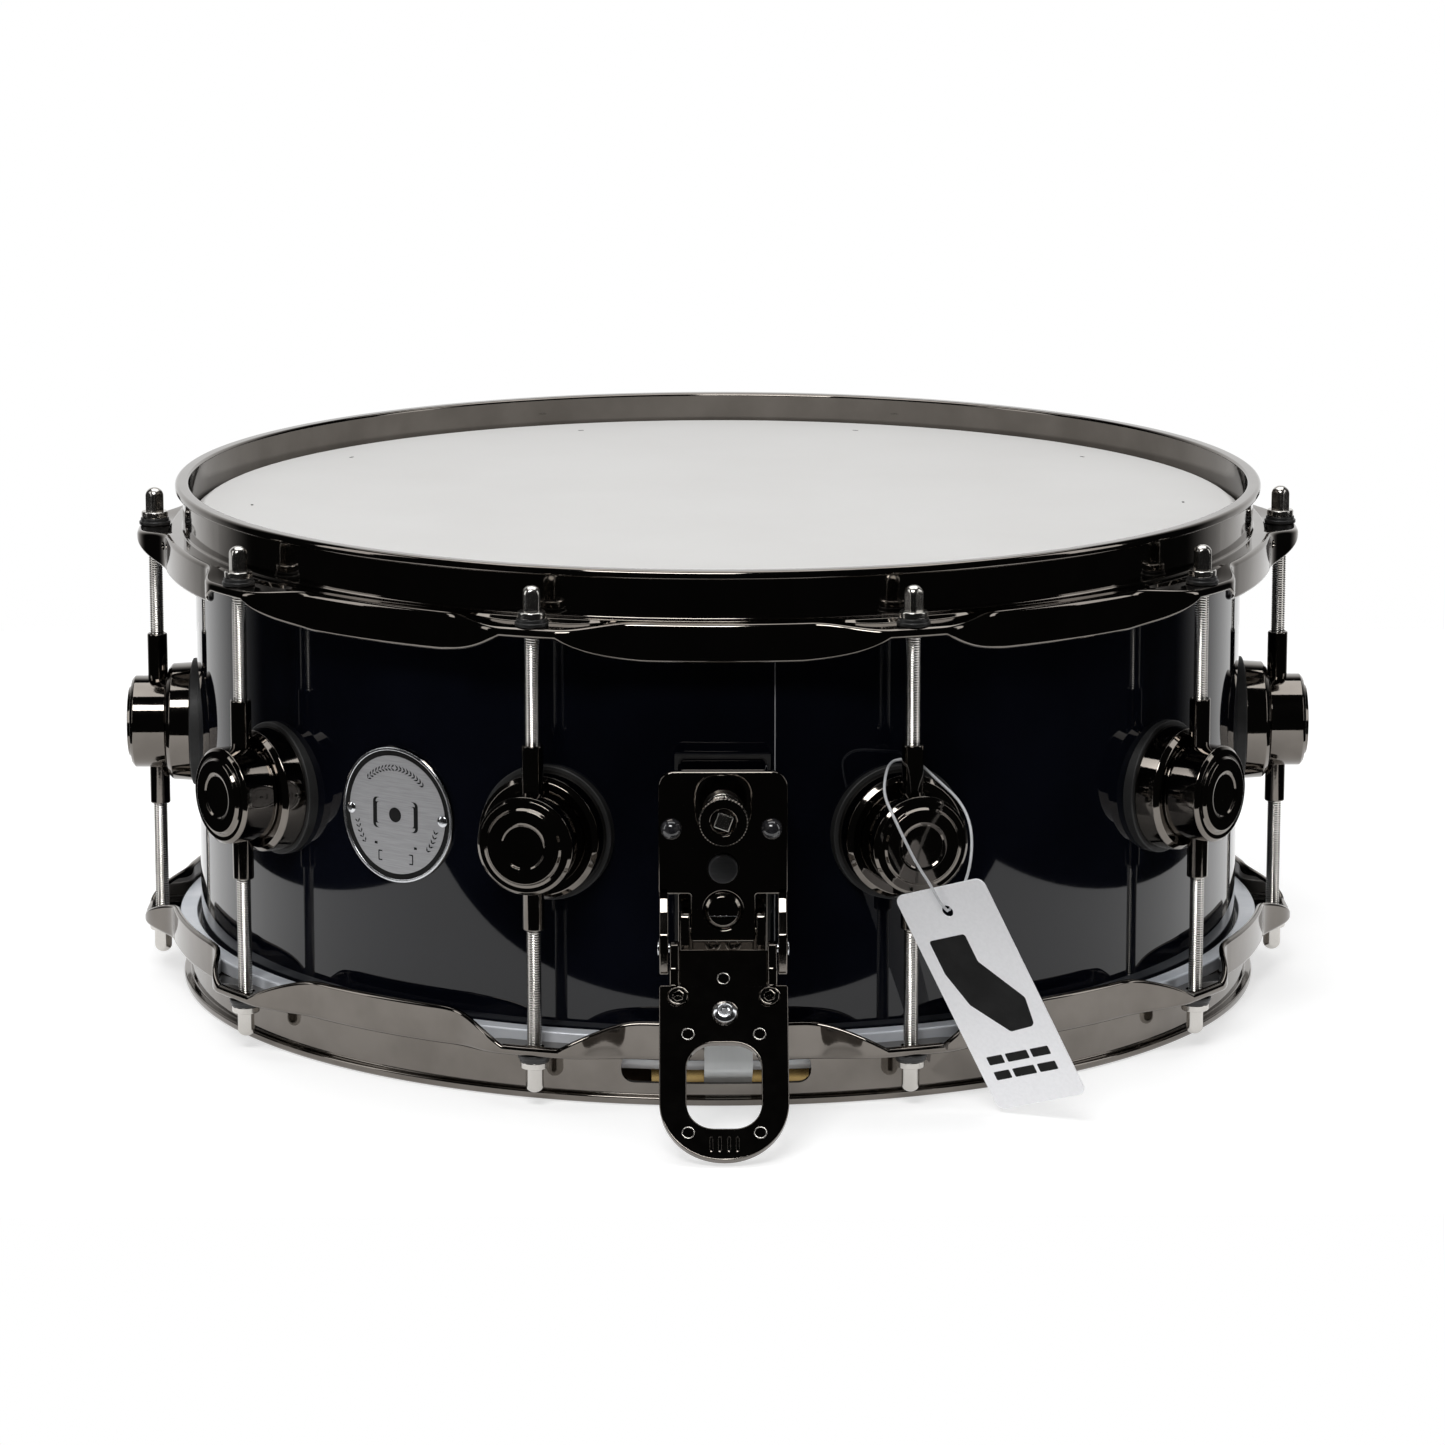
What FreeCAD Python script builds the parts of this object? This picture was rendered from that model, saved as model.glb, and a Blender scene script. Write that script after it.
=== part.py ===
import FreeCAD, Part
import math
import os
import re
import Sketcher

# A 14 inch by 6 inch snare drum. The drum's axis is Z, the rim it stands on is at Z = 0, and the
# strainer with its throw-off lever faces -Y. Heights written in the outlines count from mid height.

SIZES = {
    # whole drum
    "mid_height": 85.7,
    "rod_circle": 191.5,
    "rod_count": 10,
    "first_rod_angle": 18,
    # wooden shell, its wrap and its reinforcement rings
    "shell_radius": 177.0,
    "wrap_radius": 177.5,
    "wrap_half_height": 72.9,
    "seam_angle": 5.3,
    "seam_width": 0.4,
    "shell_inner": 170.8,
    "edge_radius": 174.5,
    "edge_height": 76.2,
    "edge_outer_height": 74.0,
    "edge_inner_height": 72.5,
    "ring_inner": 165.0,
    "ring_top": 66.7,
    "ring_bottom": 34.5,
    "screw_hole_radius": 2.75,
    "vent_angle": 144,
    "vent_hole_radius": 5.0,
    # lugs
    "gasket_radius": 21.7,
    "gasket_face": 179.6,
    "skin_radius": 177.52,
    "turret_base_radius": 20.3,
    "turret_shoulder_radius": 19.9,
    "turret_shoulder": 186.6,
    "turret_step": 187.8,
    "turret_step_radius": 18.8,
    "turret_neck_radius": 15.0,
    "turret_neck_end": 188.3,
    "turret_barrel_radius": 15.7,
    "turret_barrel_end": 199.5,
    "turret_rim_face": 200.3,
    "turret_rim_inner": 12.7,
    "turret_face": 201.5,
    "turret_face_outer": 11.7,
    "turret_dish": 200.9,
    "turret_dish_radius": 7.2,
    "turret_dish_outer": 7.8,
    "tube_radius": 3.4,
    "tube_bore": 2.45,
    "tube_low": 28.5,
    "tube_high": 30.8,
    "screw_radius": 2.5,
    "screw_tip": 187.0,
    "screw_seat": 170.69,
    "screw_washer_radius": 6.0,
    "screw_washer_thick": 1.0,
    "screw_head_radius": 4.3,
    "screw_head_height": 3.0,
    # tension rods and their nylon washers
    "rod_radius": 2.4,
    "rod_end": 2.0,
    "collar_bottom": 70.95,
    "collar_top": 73.1,
    "collar_radius": 4.8,
    "key_top": 81.2,
    "key_half": 2.6,
    "key_round": 1.5,
    "key_chamfer": 0.8,
    "nylon_bottom": 68.5,
    "nylon_top": 70.9,
    "nylon_radius": 5.35,
    "nylon_hole": 2.9,
    # counter hoops
    "hoop_wall_inner": 179.1,
    "hoop_wall_outer": 181.3,
    "rim_inner": 180.3,
    "rim_outer": 182.3,
    "lip_outer": 183.8,
    "lip_top": 84.6,
    "lip_bottom": 83.4,
    "lip_under_radius": 183.2,
    "lip_under": 82.9,
    "shelf_top": 70.0,
    "shelf_under": 67.7,
    "ear_drop": 1.5,
    "shelf_step_outer": 185.2,
    "shelf_step_inner": 184.9,
    "shelf_step_run": 0.8,
    "shelf_under_run": 0.3,
    "skirt_radius": 187.8,
    "ear_radius": 197.0,
    "skirt_thick": 2.3,
    "skirt_corner": 1.2,
    "skirt_low": 57.5,
    "ear_low": 65.4,
    "ear_half": 9.0,
    "ear_blend": 23.0,
    "arch_blend": 27.0,
    "hoop_hole_radius": 3.1,
    "hole_margin": 5.0,
    "hole_length": 20.0,
    "side_hole_angle": 81.5,
    "side_hole_high": 66.0,
    "side_hole_radius": 1.4,
    "side_hole_start": 185.0,
    "side_hole_depth": 6.0,
    "gate_left": 32.0,
    "gate_right": 28.0,
    "gate_top": 69.5,
    "gate_bottom": 79.0,
    "gate_round": 4.0,
    # heads and flesh hoops
    "film_thick": 0.3,
    "collar_film": 178.35,
    "collar_film_inner": 178.05,
    "collar_film_top": 73.6,
    "collar_film_low": 73.4,
    "film_fold": 67.2,
    "film_fold_under": 66.85,
    "film_tail_outer": 182.4,
    "film_tail_inner": 180.4,
    "film_tail_low": 64.4,
    "flesh_inner": 178.8,
    "flesh_inner_wall": 180.2,
    "flesh_outer_wall": 183.4,
    "flesh_outer": 184.8,
    "flesh_low": 63.0,
    "flesh_floor": 64.3,
    "flesh_inner_top": 66.8,
    "flesh_outer_top": 67.5,
    # badge and vent
    "badge_angle": -35.6,
    "badge_radius": 22.0,
    "badge_back": 177.55,
    "badge_front": 178.6,
    "tack_radius": 1.3,
    "tack_offset": 18.3,
    "tack_front": 179.4,
    "grommet_radius": 8.0,
    "grommet_bore": 3.5,
    "grommet_front": 179.2,
    # throw-off housing
    "pad_half": 15.0,
    "pad_low": 46.5,
    "pad_high": 26.5,
    "pad_front": 179.3,
    "house_half": 14.0,
    "house_low": 46.0,
    "house_high": 26.0,
    "house_wall": 184.5,
    "house_front": 197.5,
    "house_block_low": 12.0,
    "nose_half": 9.5,
    "nose_low": 20.5,
    "foot_high": 43.0,
    "foot_front": 190.3,
    "guide_radius": 1.5,
    "guide_bore": 1.55,
    "guide_offset": 7.0,
    "guide_centre": 187.6,
    "guide_low": 45.5,
    "guide_high": 8.0,
    "strainer_screw_high": 20.0,
    "strainer_screw_low": 28.0,
    "butt_screw_high": 17.5,
    "strainer_screw_radius": 2.0,
    "strainer_screw_tip": 184.0,
    "strainer_washer_radius": 4.9,
    # throw-off face plate
    "plate_front": 200.0,
    "plate_half": 20.0,
    "plate_high": 26.0,
    "plate_low": 13.0,
    "plate_corner": 5.0,
    "plate_tongue_half": 10.0,
    "plate_tongue_low": 28.0,
    "leg_inner": 17.0,
    "leg_outer": 19.8,
    "leg_knee": 18.0,
    "leg_knee_front": 202.6,
    "leg_radius": 3.5,
    "leg_foot": 37.0,
    "leg_foot_back": 202.0,
    "leg_foot_front": 206.6,
    "hinge_front": 204.0,
    "hinge_low": 29.0,
    "pin_radius": 1.5,
    "pin_head_radius": 2.4,
    "pin_head_end": 20.4,
    "window_half": 8.4,
    "window_top": 24.6,
    "window_round": 6.0,
    "plate_screw_low": 18.2,
    "plate_screw_recess": 6.15,
    "plate_screw_head": 5.9,
    "plate_screw_radius": 1.8,
    "plate_screw_front": 201.0,
    "plate_screw_seat": 198.5,
    "plate_screw_tip": 188.0,
    "magnet_low": 4.7,
    "magnet_radius": 4.5,
    "magnet_hole": 4.6,
    "magnet_front": 201.6,
    "bumper_left": 16.0,
    "bumper_right": 15.0,
    "bumper_high": 8.0,
    "bumper_radius": 3.5,
    "bumper_stem": 2.0,
    "bumper_front": 204.2,
    "bumper_back": 198.0,
    # tension knob
    "knob_high": 13.2,
    "knob_shaft": 3.0,
    "knob_bore": 3.05,
    "knob_shaft_back": 186.5,
    "knob_bore_back": 186.0,
    "knob_neck_back": 197.7,
    "knob_neck": 5.0,
    "knob_back": 201.0,
    "knob_radius": 7.8,
    "knob_front": 214.5,
    "knob_edge": 0.7,
    "knob_well_radius": 3.7,
    "knob_well": 212.5,
    "knob_post_half": 2.25,
    "knob_post_front": 214.3,
    # sliding carriage and the clamp for the snare strap
    "carriage_back": 185.2,
    "carriage_front": 190.5,
    "carriage_half": 9.6,
    "carriage_low": 38.0,
    "carriage_high": 26.0,
    "rail_inner": 10.3,
    "rail_outer": 13.3,
    "rail_low": 42.0,
    "rail_high": 18.5,
    "rail_front": 201.2,
    "rail_round": 2.0,
    "clamp_back": 191.4,
    "clamp_front": 194.6,
    "clamp_high": 27.0,
    "clamp_screw_offset": 3.2,
    "clamp_screw_low": 29.5,
    "clamp_screw_radius": 1.5,
    "clamp_screw_head": 2.6,
    "clamp_screw_front": 197.2,
    "clamp_screw_back": 186.5,
    # throw-off lever, about its own hinge axis
    "lever_tilt": 41.5,
    "lever_back": 3.0,
    "lever_front": 0.5,
    "tongue_half": 13.7,
    "tongue_top": 0.2,
    "shoulder_low": 12.6,
    "lever_half": 19.9,
    "lever_tip": 72.3,
    "lever_round": 19.8,
    "lever_window_half": 11.5,
    "lever_window_top": 32.5,
    "lever_window_end": 61.5,
    "lever_window_round": 8.5,
    "lever_ear_inner": 13.7,
    "lever_ear_outer": 16.6,
    "lever_ear_radius": 3.4,
    "lever_ear_half": 3.0,
    "lever_ear_bend": 9.0,
    "lever_ear_end": 14.0,
    "fastener_offset": 14.1,
    "fastener_low": 16.7,
    "fastener_radius": 3.1,
    "fastener_proud": 0.6,
    "strike_low": 22.3,
    "strike_radius": 3.7,
    "strike_proud": 1.6,
    # snares
    "strap_left": 5.8,
    "strap_right": 9.4,
    "strap_top": 31.5,
    "strap_outer": 191.2,
    "strap_inner": 190.7,
    "strap_bend": 69.0,
    "strap_turn": 72.7,
    "strap_turn_outer": 189.8,
    "strap_turn_inner": 189.4,
    "strap_thick": 0.5,
    "strap_low": 84.4,
    "strap_flat_start": 163.5,
    "strap_flat_end": 156.0,
    "snare_left": 22.5,
    "snare_right": 27.5,
    "end_plate_front": 163.5,
    "end_plate_thick": 0.8,
    "end_plate_flange": 154.0,
    "snare_top": 78.2,
    "end_plate_low": 83.9,
    "wire_radius": 0.75,
    "wire_count": 20,
    # snare butt
    "butt_half": 16.0,
    "butt_low": 40.0,
    "butt_high": 14.0,
    "butt_front": 190.5,
    "butt_clamp_front": 194.4,
    "butt_clamp_low": 38.0,
    "butt_clamp_high": 21.0,
    "butt_screw_low": 25.5,
    "butt_screw_offset": 9.0,
    "butt_screw_head_front": 196.6,
    "butt_screw_back": 183.0,
    # hang tag
    "tag_half_width": 17.2,
    "tag_half_height": 39.1,
    "tag_thick": 0.4,
    "tag_round": 3.0,
    "tag_hole_radius": 2.0,
    "tag_hole_side": 0.6,
    "tag_hole_high": 30.6,
    "tag_yaw": -37.1,
    "tag_pitch": -18.3,
    "tag_roll": 18.7,
    "tag_x": 83.0,
    "tag_y": -203.3,
    "tag_z": 41.3,
    "loop_radius": 0.45,
}

# The clear strand of the hang tag: out of the tag's hole, up past the lug's left side, behind the
# lug's tube, down its right side and behind the tag, back to the hole (mm).
TAG_LOOP = [
    (69.4, -205.3, 68.6),
    (67.3, -206.8, 70.8),
    (64.4, -207.5, 76.6),
    (59.5, -206.6, 84.0),
    (56.0, -205.6, 91.0),
    (52.2, -203.0, 98.6),
    (49.6, -198.0, 104.0),
    (50.4, -190.0, 108.2),
    (51.8, -181.4, 109.8),
    (54.4, -175.4, 110.2),
    (60.6, -173.4, 109.6),
    (66.7, -180.0, 104.8),
    (73.5, -190.0, 100.4),
    (76.5, -199.0, 95.2),
    (76.8, -206.0, 88.2),
    (75.2, -209.0, 80.0),
    (72.3, -207.5, 74.0),
    (69.9, -204.5, 68.8),
]

doc = FreeCAD.newDocument("snare_drum")
sheet = doc.addObject("Spreadsheet::Sheet", "size")
for row, (alias, number) in enumerate(SIZES.items(), 1):
    sheet.set(f"A{row}", alias)
    sheet.set(f"B{row}", str(number))
    sheet.setAlias(f"B{row}", alias)
doc.recompute()

PLANES = {"front": "XZ_Plane", "side": "YZ_Plane", "level": "XY_Plane"}
parts = []


def bound(expression):
    """The same expression, with each name from the sheet written as FreeCAD wants it."""
    def named(word):
        return f"size.{word.group()}" if word.group() in SIZES else word.group()

    return re.sub(r"[a-z_]+", named, str(expression))


def value(expression):
    """The number that an expression in the sheet's names stands for."""
    return float(sheet.evalExpression(bound(expression)))


def origin(body, role):
    return next(feature for feature in body.Origin.OriginFeatures if feature.Role == role)


def new_body(name, turn=None):
    """An empty sub-part, turned about the drum's axis where turn is given."""
    body = doc.addObject("PartDesign::Body", name)
    body.Label = name
    parts.append(body)
    if turn is not None:
        body.Placement = FreeCAD.Placement(FreeCAD.Vector(), FreeCAD.Rotation(ALONG_Z, value(turn)))
    return body


def sketch_on(body, name, view, depth="0", height="mid_height"):
    """A sketch that faces the front (x right, y up), the side (x back, y up) or the level plane."""
    sketch = body.newObject("Sketcher::SketchObject", name)
    sketch.AttachmentSupport = [(origin(body, PLANES[view]), "")]
    sketch.MapMode = "FlatFace"
    if view == "level":
        sketch.setExpression(".AttachmentOffset.Base.z", bound(f"{height} + {depth}"))
    else:
        sketch.setExpression(".AttachmentOffset.Base.y", bound(height))
        sketch.setExpression(".AttachmentOffset.Base.z", bound(depth))
    return sketch


def bind(sketch, kind, arguments, expression):
    index = sketch.addConstraint(Sketcher.Constraint(kind, *arguments, value(expression)))
    sketch.setExpression(f"Constraints[{index}]", bound(expression))


def add_corners(sketch, corners):
    """A closed outline of straight edges with both places of each corner bound to the sheet."""
    points = [FreeCAD.Vector(value(across), value(up), 0) for across, up in corners]
    count = len(points)
    first = sketch.GeometryCount
    for index in range(count):
        sketch.addGeometry(Part.LineSegment(points[index], points[(index + 1) % count]))
    for index in range(count):
        following = first + (index + 1) % count
        sketch.addConstraint(Sketcher.Constraint("Coincident", first + index, 2, following, 1))
    for index, (across, up) in enumerate(corners):
        bind(sketch, "DistanceX", (-1, 1, first + index, 1), across)
        bind(sketch, "DistanceY", (-1, 1, first + index, 1), up)


def add_circle(sketch, across, up, radius):
    index = sketch.GeometryCount
    centre = FreeCAD.Vector(value(across), value(up), 0)
    sketch.addGeometry(Part.Circle(centre, FreeCAD.Vector(0, 0, 1), value(radius)))
    bind(sketch, "DistanceX", (-1, 1, index, 3), across)
    bind(sketch, "DistanceY", (-1, 1, index, 3), up)
    bind(sketch, "Radius", (index,), radius)


def draw(body, name, view, depth, corners, circles, height="mid_height"):
    sketch = sketch_on(body, f"{name}_sketch", view, depth, height)
    if corners:
        add_corners(sketch, corners)
    for circle in circles:
        add_circle(sketch, *circle)
    return sketch


def pad(body, name, view, start, stop, corners=(), circles=(), height="mid_height"):
    """Material between two depths of a view: depth grows to the front, to the right or upwards."""
    feature = body.newObject("PartDesign::Pad", name)
    feature.Profile = draw(body, name, view, start, corners, circles, height)
    feature.setExpression("Length", bound(f"{stop} - ({start})"))
    return feature


def cut(body, name, view, start, stop, corners=(), circles=(), height="mid_height"):
    """The same as pad, but it takes the material away."""
    feature = body.newObject("PartDesign::Pocket", name)
    feature.Profile = draw(body, name, view, stop, corners, circles, height)
    feature.setExpression("Length", bound(f"{stop} - ({start})"))
    return feature


def turned(body, name, corners, kind="PartDesign::Revolution", view="front", axis="V_Axis",
           height="mid_height"):
    """A solid, or a groove, of revolution."""
    sketch = draw(body, name, view, "0", corners, (), height)
    feature = body.newObject(kind, name)
    feature.Profile = sketch
    feature.ReferenceAxis = (sketch, [axis])
    feature.Angle = 360
    return feature


def forward(corners):
    """Corners given as (distance in front of the drum's axis, radius) for a sketch seen from the side."""
    return [(f"-({front})", radius) for front, radius in corners]


def spindle(body, name, corners, height="mid_height"):
    """A solid of revolution about a line that runs from the drum's axis to the front."""
    return turned(body, name, forward(corners), view="side", axis="H_Axis", height=height)


def hollow_back(body, name, radius, low, high):
    """Takes away all that lies inside the given radius, so that a piece sits on the round shell."""
    corners = [("0", low), (radius, low), (radius, high), ("0", high)]
    return turned(body, name, corners, kind="PartDesign::Groove")


def around(body, name, originals, count="rod_count"):
    feature = body.newObject("PartDesign::PolarPattern", name)
    feature.Originals = originals
    feature.Axis = (origin(body, "Z_Axis"), [""])
    feature.Angle = 360
    feature.setExpression("Occurrences", bound(count))
    body.Tip = feature
    return feature


def mirrored(body, name, originals, role):
    feature = body.newObject("PartDesign::Mirrored", name)
    feature.Originals = originals
    feature.MirrorPlane = (origin(body, role), [""])
    body.Tip = feature
    return feature


def rounded(body, name, feature, radius, wanted):
    """Rounds the edges of a feature for which wanted says yes."""
    doc.recompute()
    edges = [f"Edge{number}" for number, edge in enumerate(feature.Shape.Edges, 1) if wanted(edge)]
    fillet = body.newObject("PartDesign::Fillet", name)
    fillet.Base = (feature, edges)
    fillet.setExpression("Radius", bound(radius))
    body.Tip = fillet
    return fillet


def straight_along(axis, where=lambda middle: True):
    """A test for straight edges that run along X, Y or Z and whose middle passes the second test."""
    def wanted(edge):
        if not isinstance(edge.Curve, Part.Line):
            return False
        middle = edge.valueAt((edge.FirstParameter + edge.LastParameter) / 2)
        return abs(edge.Curve.Direction.dot(axis)) > 0.999 and where(middle)
    return wanted


def box(left, low, right, high):
    return [(left, low), (right, low), (right, high), (left, high)]


ALONG_Y = FreeCAD.Vector(0, 1, 0)
ALONG_X = FreeCAD.Vector(1, 0, 0)
ALONG_Z = FreeCAD.Vector(0, 0, 1)


def shell():
    body = new_body("shell")
    turned(body, "plies", [
        ("shell_radius", "-edge_outer_height"), ("shell_radius", "edge_outer_height"),
        ("edge_radius", "edge_height"), ("shell_inner", "edge_inner_height"),
        ("shell_inner", "-edge_inner_height"), ("edge_radius", "-edge_height")])
    drill_shell(body, "shell_radius")


def drill_shell(body, radius):
    """The holes for the lug screws, the strainer, the butt and the vent."""
    reach = f"{radius} + 5"
    lug_hole = cut(body, "lug_hole", "front", "0", reach, circles=[("0", "0", "screw_hole_radius")])
    turn_sketch(lug_hole.Profile[0], "first_rod_angle")
    around(body, "lug_holes", [lug_hole])
    cut(body, "strainer_holes", "front", "0", reach, circles=[
        ("0", "strainer_screw_high", "screw_hole_radius"),
        ("0", "-strainer_screw_low", "screw_hole_radius")])
    cut(body, "butt_holes", "front", f"-({reach})", "0", circles=[
        ("0", "-butt_screw_high", "screw_hole_radius"), ("0", "-strainer_screw_low", "screw_hole_radius")])
    vent = cut(body, "vent_hole", "front", "0", reach, circles=[("0", "0", "vent_hole_radius")])
    turn_sketch(vent.Profile[0], "vent_angle")
    body.Tip = vent


def turn_sketch(sketch, angle):
    """Turns a sketch about the drum's axis and starts its cut outside the wall."""
    depth = value_of_depth(sketch)
    sketch.setExpression(".AttachmentOffset.Base.z", None)
    radians = math.radians(value(angle))
    place = FreeCAD.Vector(depth * math.sin(radians), value("mid_height"), depth * math.cos(radians))
    sketch.AttachmentOffset = FreeCAD.Placement(place, FreeCAD.Rotation(ALONG_Y, value(angle)))


def value_of_depth(sketch):
    doc.recompute()
    return sketch.AttachmentOffset.Base.z


def finish_wrap():
    body = new_body("finish_wrap")
    turned(body, "film", box("shell_radius", "-wrap_half_height", "wrap_radius", "wrap_half_height"))
    drill_shell(body, "wrap_radius")
    seam = cut(body, "seam", "front", "0", "wrap_radius + 5",
               box("-seam_width / 2", "-edge_height", "seam_width / 2", "edge_height"))
    turn_sketch(seam.Profile[0], "seam_angle")
    body.Tip = seam


def reinforcement_rings():
    body = new_body("reinforcement_rings")
    for sign, name in (("", "upper_ring"), ("-", "lower_ring")):
        turned(body, name, [
            ("shell_inner", f"{sign}ring_bottom"), ("shell_inner", f"{sign}edge_inner_height"),
            ("ring_inner", f"{sign}ring_top"), ("ring_inner", f"{sign}ring_bottom")])


def lug_gaskets():
    body = new_body("lug_gaskets", "first_rod_angle")
    disc = pad(body, "disc", "front", "shell_inner", "gasket_face",
               circles=[("0", "0", "gasket_radius"), ("0", "0", "screw_hole_radius")])
    around(body, "discs", [disc])
    body.Tip = hollow_back(body, "shell_side", "skin_radius", "-gasket_radius - 1", "gasket_radius + 1")


def lug_turrets():
    body = new_body("lug_turrets", "first_rod_angle")
    turret = spindle(body, "turret", [
        ("gasket_face", "screw_radius"), ("screw_tip", "screw_radius"), ("screw_tip", "0"),
        ("turret_dish", "0"), ("turret_dish", "turret_dish_radius"), ("turret_face", "turret_dish_outer"),
        ("turret_face", "turret_face_outer"), ("turret_rim_face", "turret_rim_inner"),
        ("turret_rim_face", "turret_neck_radius"), ("turret_barrel_end", "turret_barrel_radius"),
        ("turret_neck_end", "turret_barrel_radius"), ("turret_neck_end", "turret_neck_radius"),
        ("turret_step", "turret_neck_radius"), ("turret_step", "turret_step_radius"),
        ("turret_shoulder", "turret_shoulder_radius"), ("gasket_face", "turret_base_radius")])
    bore = cut(body, "tube_bore", "level", "-turret_base_radius", "turret_base_radius",
               circles=[("0", "-rod_circle", "tube_radius")])
    around(body, "turrets", [turret, bore])


def lug_tubes():
    body = new_body("lug_tubes", "first_rod_angle")
    tube = pad(body, "tube", "level", "-tube_low", "tube_high",
               circles=[("0", "-rod_circle", "tube_radius"), ("0", "-rod_circle", "tube_bore")])
    around(body, "tubes", [tube])


def lug_screws():
    body = new_body("lug_screws", "first_rod_angle")
    screw = spindle(body, "screw", screw_corners("screw_radius", "screw_tip", "screw_washer_radius"))
    around(body, "screws", [screw])


def screw_corners(radius, tip, washer):
    """A screw with a washer under its head, which sits against the inside of the shell."""
    head = "screw_seat - screw_washer_thick"
    return [
        (f"{head} - screw_head_height", "0"), (f"{head} - screw_head_height", "screw_head_radius"),
        (head, "screw_head_radius"), (head, washer),
        ("screw_seat", washer), ("screw_seat", radius), (tip, radius), (tip, "0")]


def tension_rods():
    """Ten rods above and ten below, each a sub-part of its own because each turns on its own."""
    for side, flip in (("top", 0), ("bottom", 180)):
        for number in range(1, int(value("rod_count")) + 1):
            body = new_body(f"tension_rod_{side}_{number}")
            turned(body, "shaft", [
                ("0", "rod_end"), ("rod_radius", "rod_end"), ("rod_radius", "collar_bottom"),
                ("collar_radius", "collar_bottom"), ("collar_radius", "collar_top"), ("0", "collar_top")],
                height="0")
            key = pad(body, "key", "level", "collar_top", "key_top",
                      box("-key_half", "-key_half", "key_half", "key_half"), height="0")
            half, top = value("key_half"), value("key_top")
            corners = rounded(body, "key_corners", key, "key_round", straight_along(
                ALONG_Z, lambda place: abs(abs(place.x) - half) < 0.01 and abs(abs(place.y) - half) < 0.01))
            doc.recompute()
            edges = [f"Edge{index}" for index, edge in enumerate(corners.Shape.Edges, 1)
                     if all(abs(vertex.Z - top) < 0.01 for vertex in edge.Vertexes)]
            chamfer = body.newObject("PartDesign::Chamfer", "key_edges")
            chamfer.Base = (corners, edges)
            chamfer.setExpression("Size", bound("key_chamfer"))
            body.Tip = chamfer
            angle = math.radians(value("first_rod_angle") + (number - 1) * 360 / value("rod_count"))
            circle = value("rod_circle")
            place = FreeCAD.Vector(circle * math.sin(angle), -circle * math.cos(angle), value("mid_height"))
            body.Placement = FreeCAD.Placement(place, FreeCAD.Rotation(ALONG_X, flip))


def rod_washers(name, low, high):
    body = new_body(name, "first_rod_angle")
    washer = pad(body, "washer", "level", low, high,
                 circles=[("0", "-rod_circle", "nylon_radius"), ("0", "-rod_circle", "nylon_hole")])
    around(body, "washers", [washer])


def ease(share):
    """From 0 to 1 with no corner at either end."""
    share = min(max(share, 0), 1)
    return share * share * (3 - 2 * share)


def hoop_section(along, angle):
    """The top hoop's cross-section at an arc distance from a rod, as a closed wire in its radial plane."""
    swell = 1 - ease((along - value("ear_half")) / value("ear_blend"))
    outer = value("skirt_radius") + (value("ear_radius") - value("skirt_radius")) * swell
    low_share = 1 - min(max((along - value("ear_half")) / value("arch_blend"), 0), 1)
    low = value("skirt_low") + (value("ear_low") - value("skirt_low")) * low_share ** 2
    top = value("shelf_top") - value("ear_drop") * swell
    under = value("shelf_under") - value("ear_drop") * swell
    corner = value("skirt_corner")
    inner = outer - value("skirt_thick")
    outline = [
        (value("hoop_wall_inner"), value("shelf_under")),
        (value("hoop_wall_inner"), value("lip_top")),
        (value("rim_inner"), value("mid_height")),
        (value("rim_outer"), value("mid_height")),
        (value("lip_outer"), value("lip_top")),
        (value("lip_outer"), value("lip_bottom")),
        (value("lip_under_radius"), value("lip_under")),
        (value("hoop_wall_outer"), value("lip_under")),
        (value("hoop_wall_outer"), value("shelf_top")),
        (value("shelf_step_outer"), value("shelf_top")),
        (value("shelf_step_outer + shelf_step_run"), top),
        (outer - corner, top),
        (outer, top - corner),
        (outer, low),
        (inner, low),
        (inner, under),
        (value("shelf_step_inner + shelf_under_run"), under),
        (value("shelf_step_inner"), value("shelf_under")),
    ]
    middle = value("mid_height")
    points = [FreeCAD.Vector(radius * math.sin(angle), -radius * math.cos(angle), middle + height)
              for radius, height in outline]
    return Part.makePolygon(points + points[:1])


def hoop_solid():
    """A die-cast hoop: one ear with the skirt on both sides of it, repeated at every rod."""
    circle = value("rod_circle")
    pitch = 2 * math.pi / value("rod_count")
    flat = value("ear_half")
    reach = flat + value("arch_blend")
    steps = 7
    stops = [flat + value("arch_blend") * step / steps for step in range(steps + 1)]
    axis = FreeCAD.Vector(0, 0, 1)
    centre = FreeCAD.Vector()
    right = Part.makeLoft([hoop_section(stop, stop / circle) for stop in stops], False, False)
    left = Part.makeLoft([hoop_section(stop, -stop / circle) for stop in stops], False, False)
    ear = hoop_section(flat, -flat / circle).revolve(centre, axis, math.degrees(2 * flat / circle))
    between = math.degrees(pitch - 2 * reach / circle)
    skirt = hoop_section(reach, reach / circle).revolve(centre, axis, between)
    faces = []
    for number in range(int(value("rod_count"))):
        turn = value("first_rod_angle") + math.degrees(pitch) * number
        for stretch in (left, ear, right, skirt):
            faces += stretch.rotated(centre, axis, turn).Faces
    surface = Part.makeShell(faces)
    surface.sewShape()
    solid = Part.makeSolid(surface)
    if solid.Volume < 0:
        solid.reverse()
    holes = []
    for number in range(int(value("rod_count"))):
        angle = math.radians(value("first_rod_angle")) + pitch * number
        low = value("mid_height + ear_low - hole_margin")
        place = FreeCAD.Vector(circle * math.sin(angle), -circle * math.cos(angle), low)
        holes.append(Part.makeCylinder(value("hoop_hole_radius"), value("hole_length"), place, axis))
    return solid.cut(holes)


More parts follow.
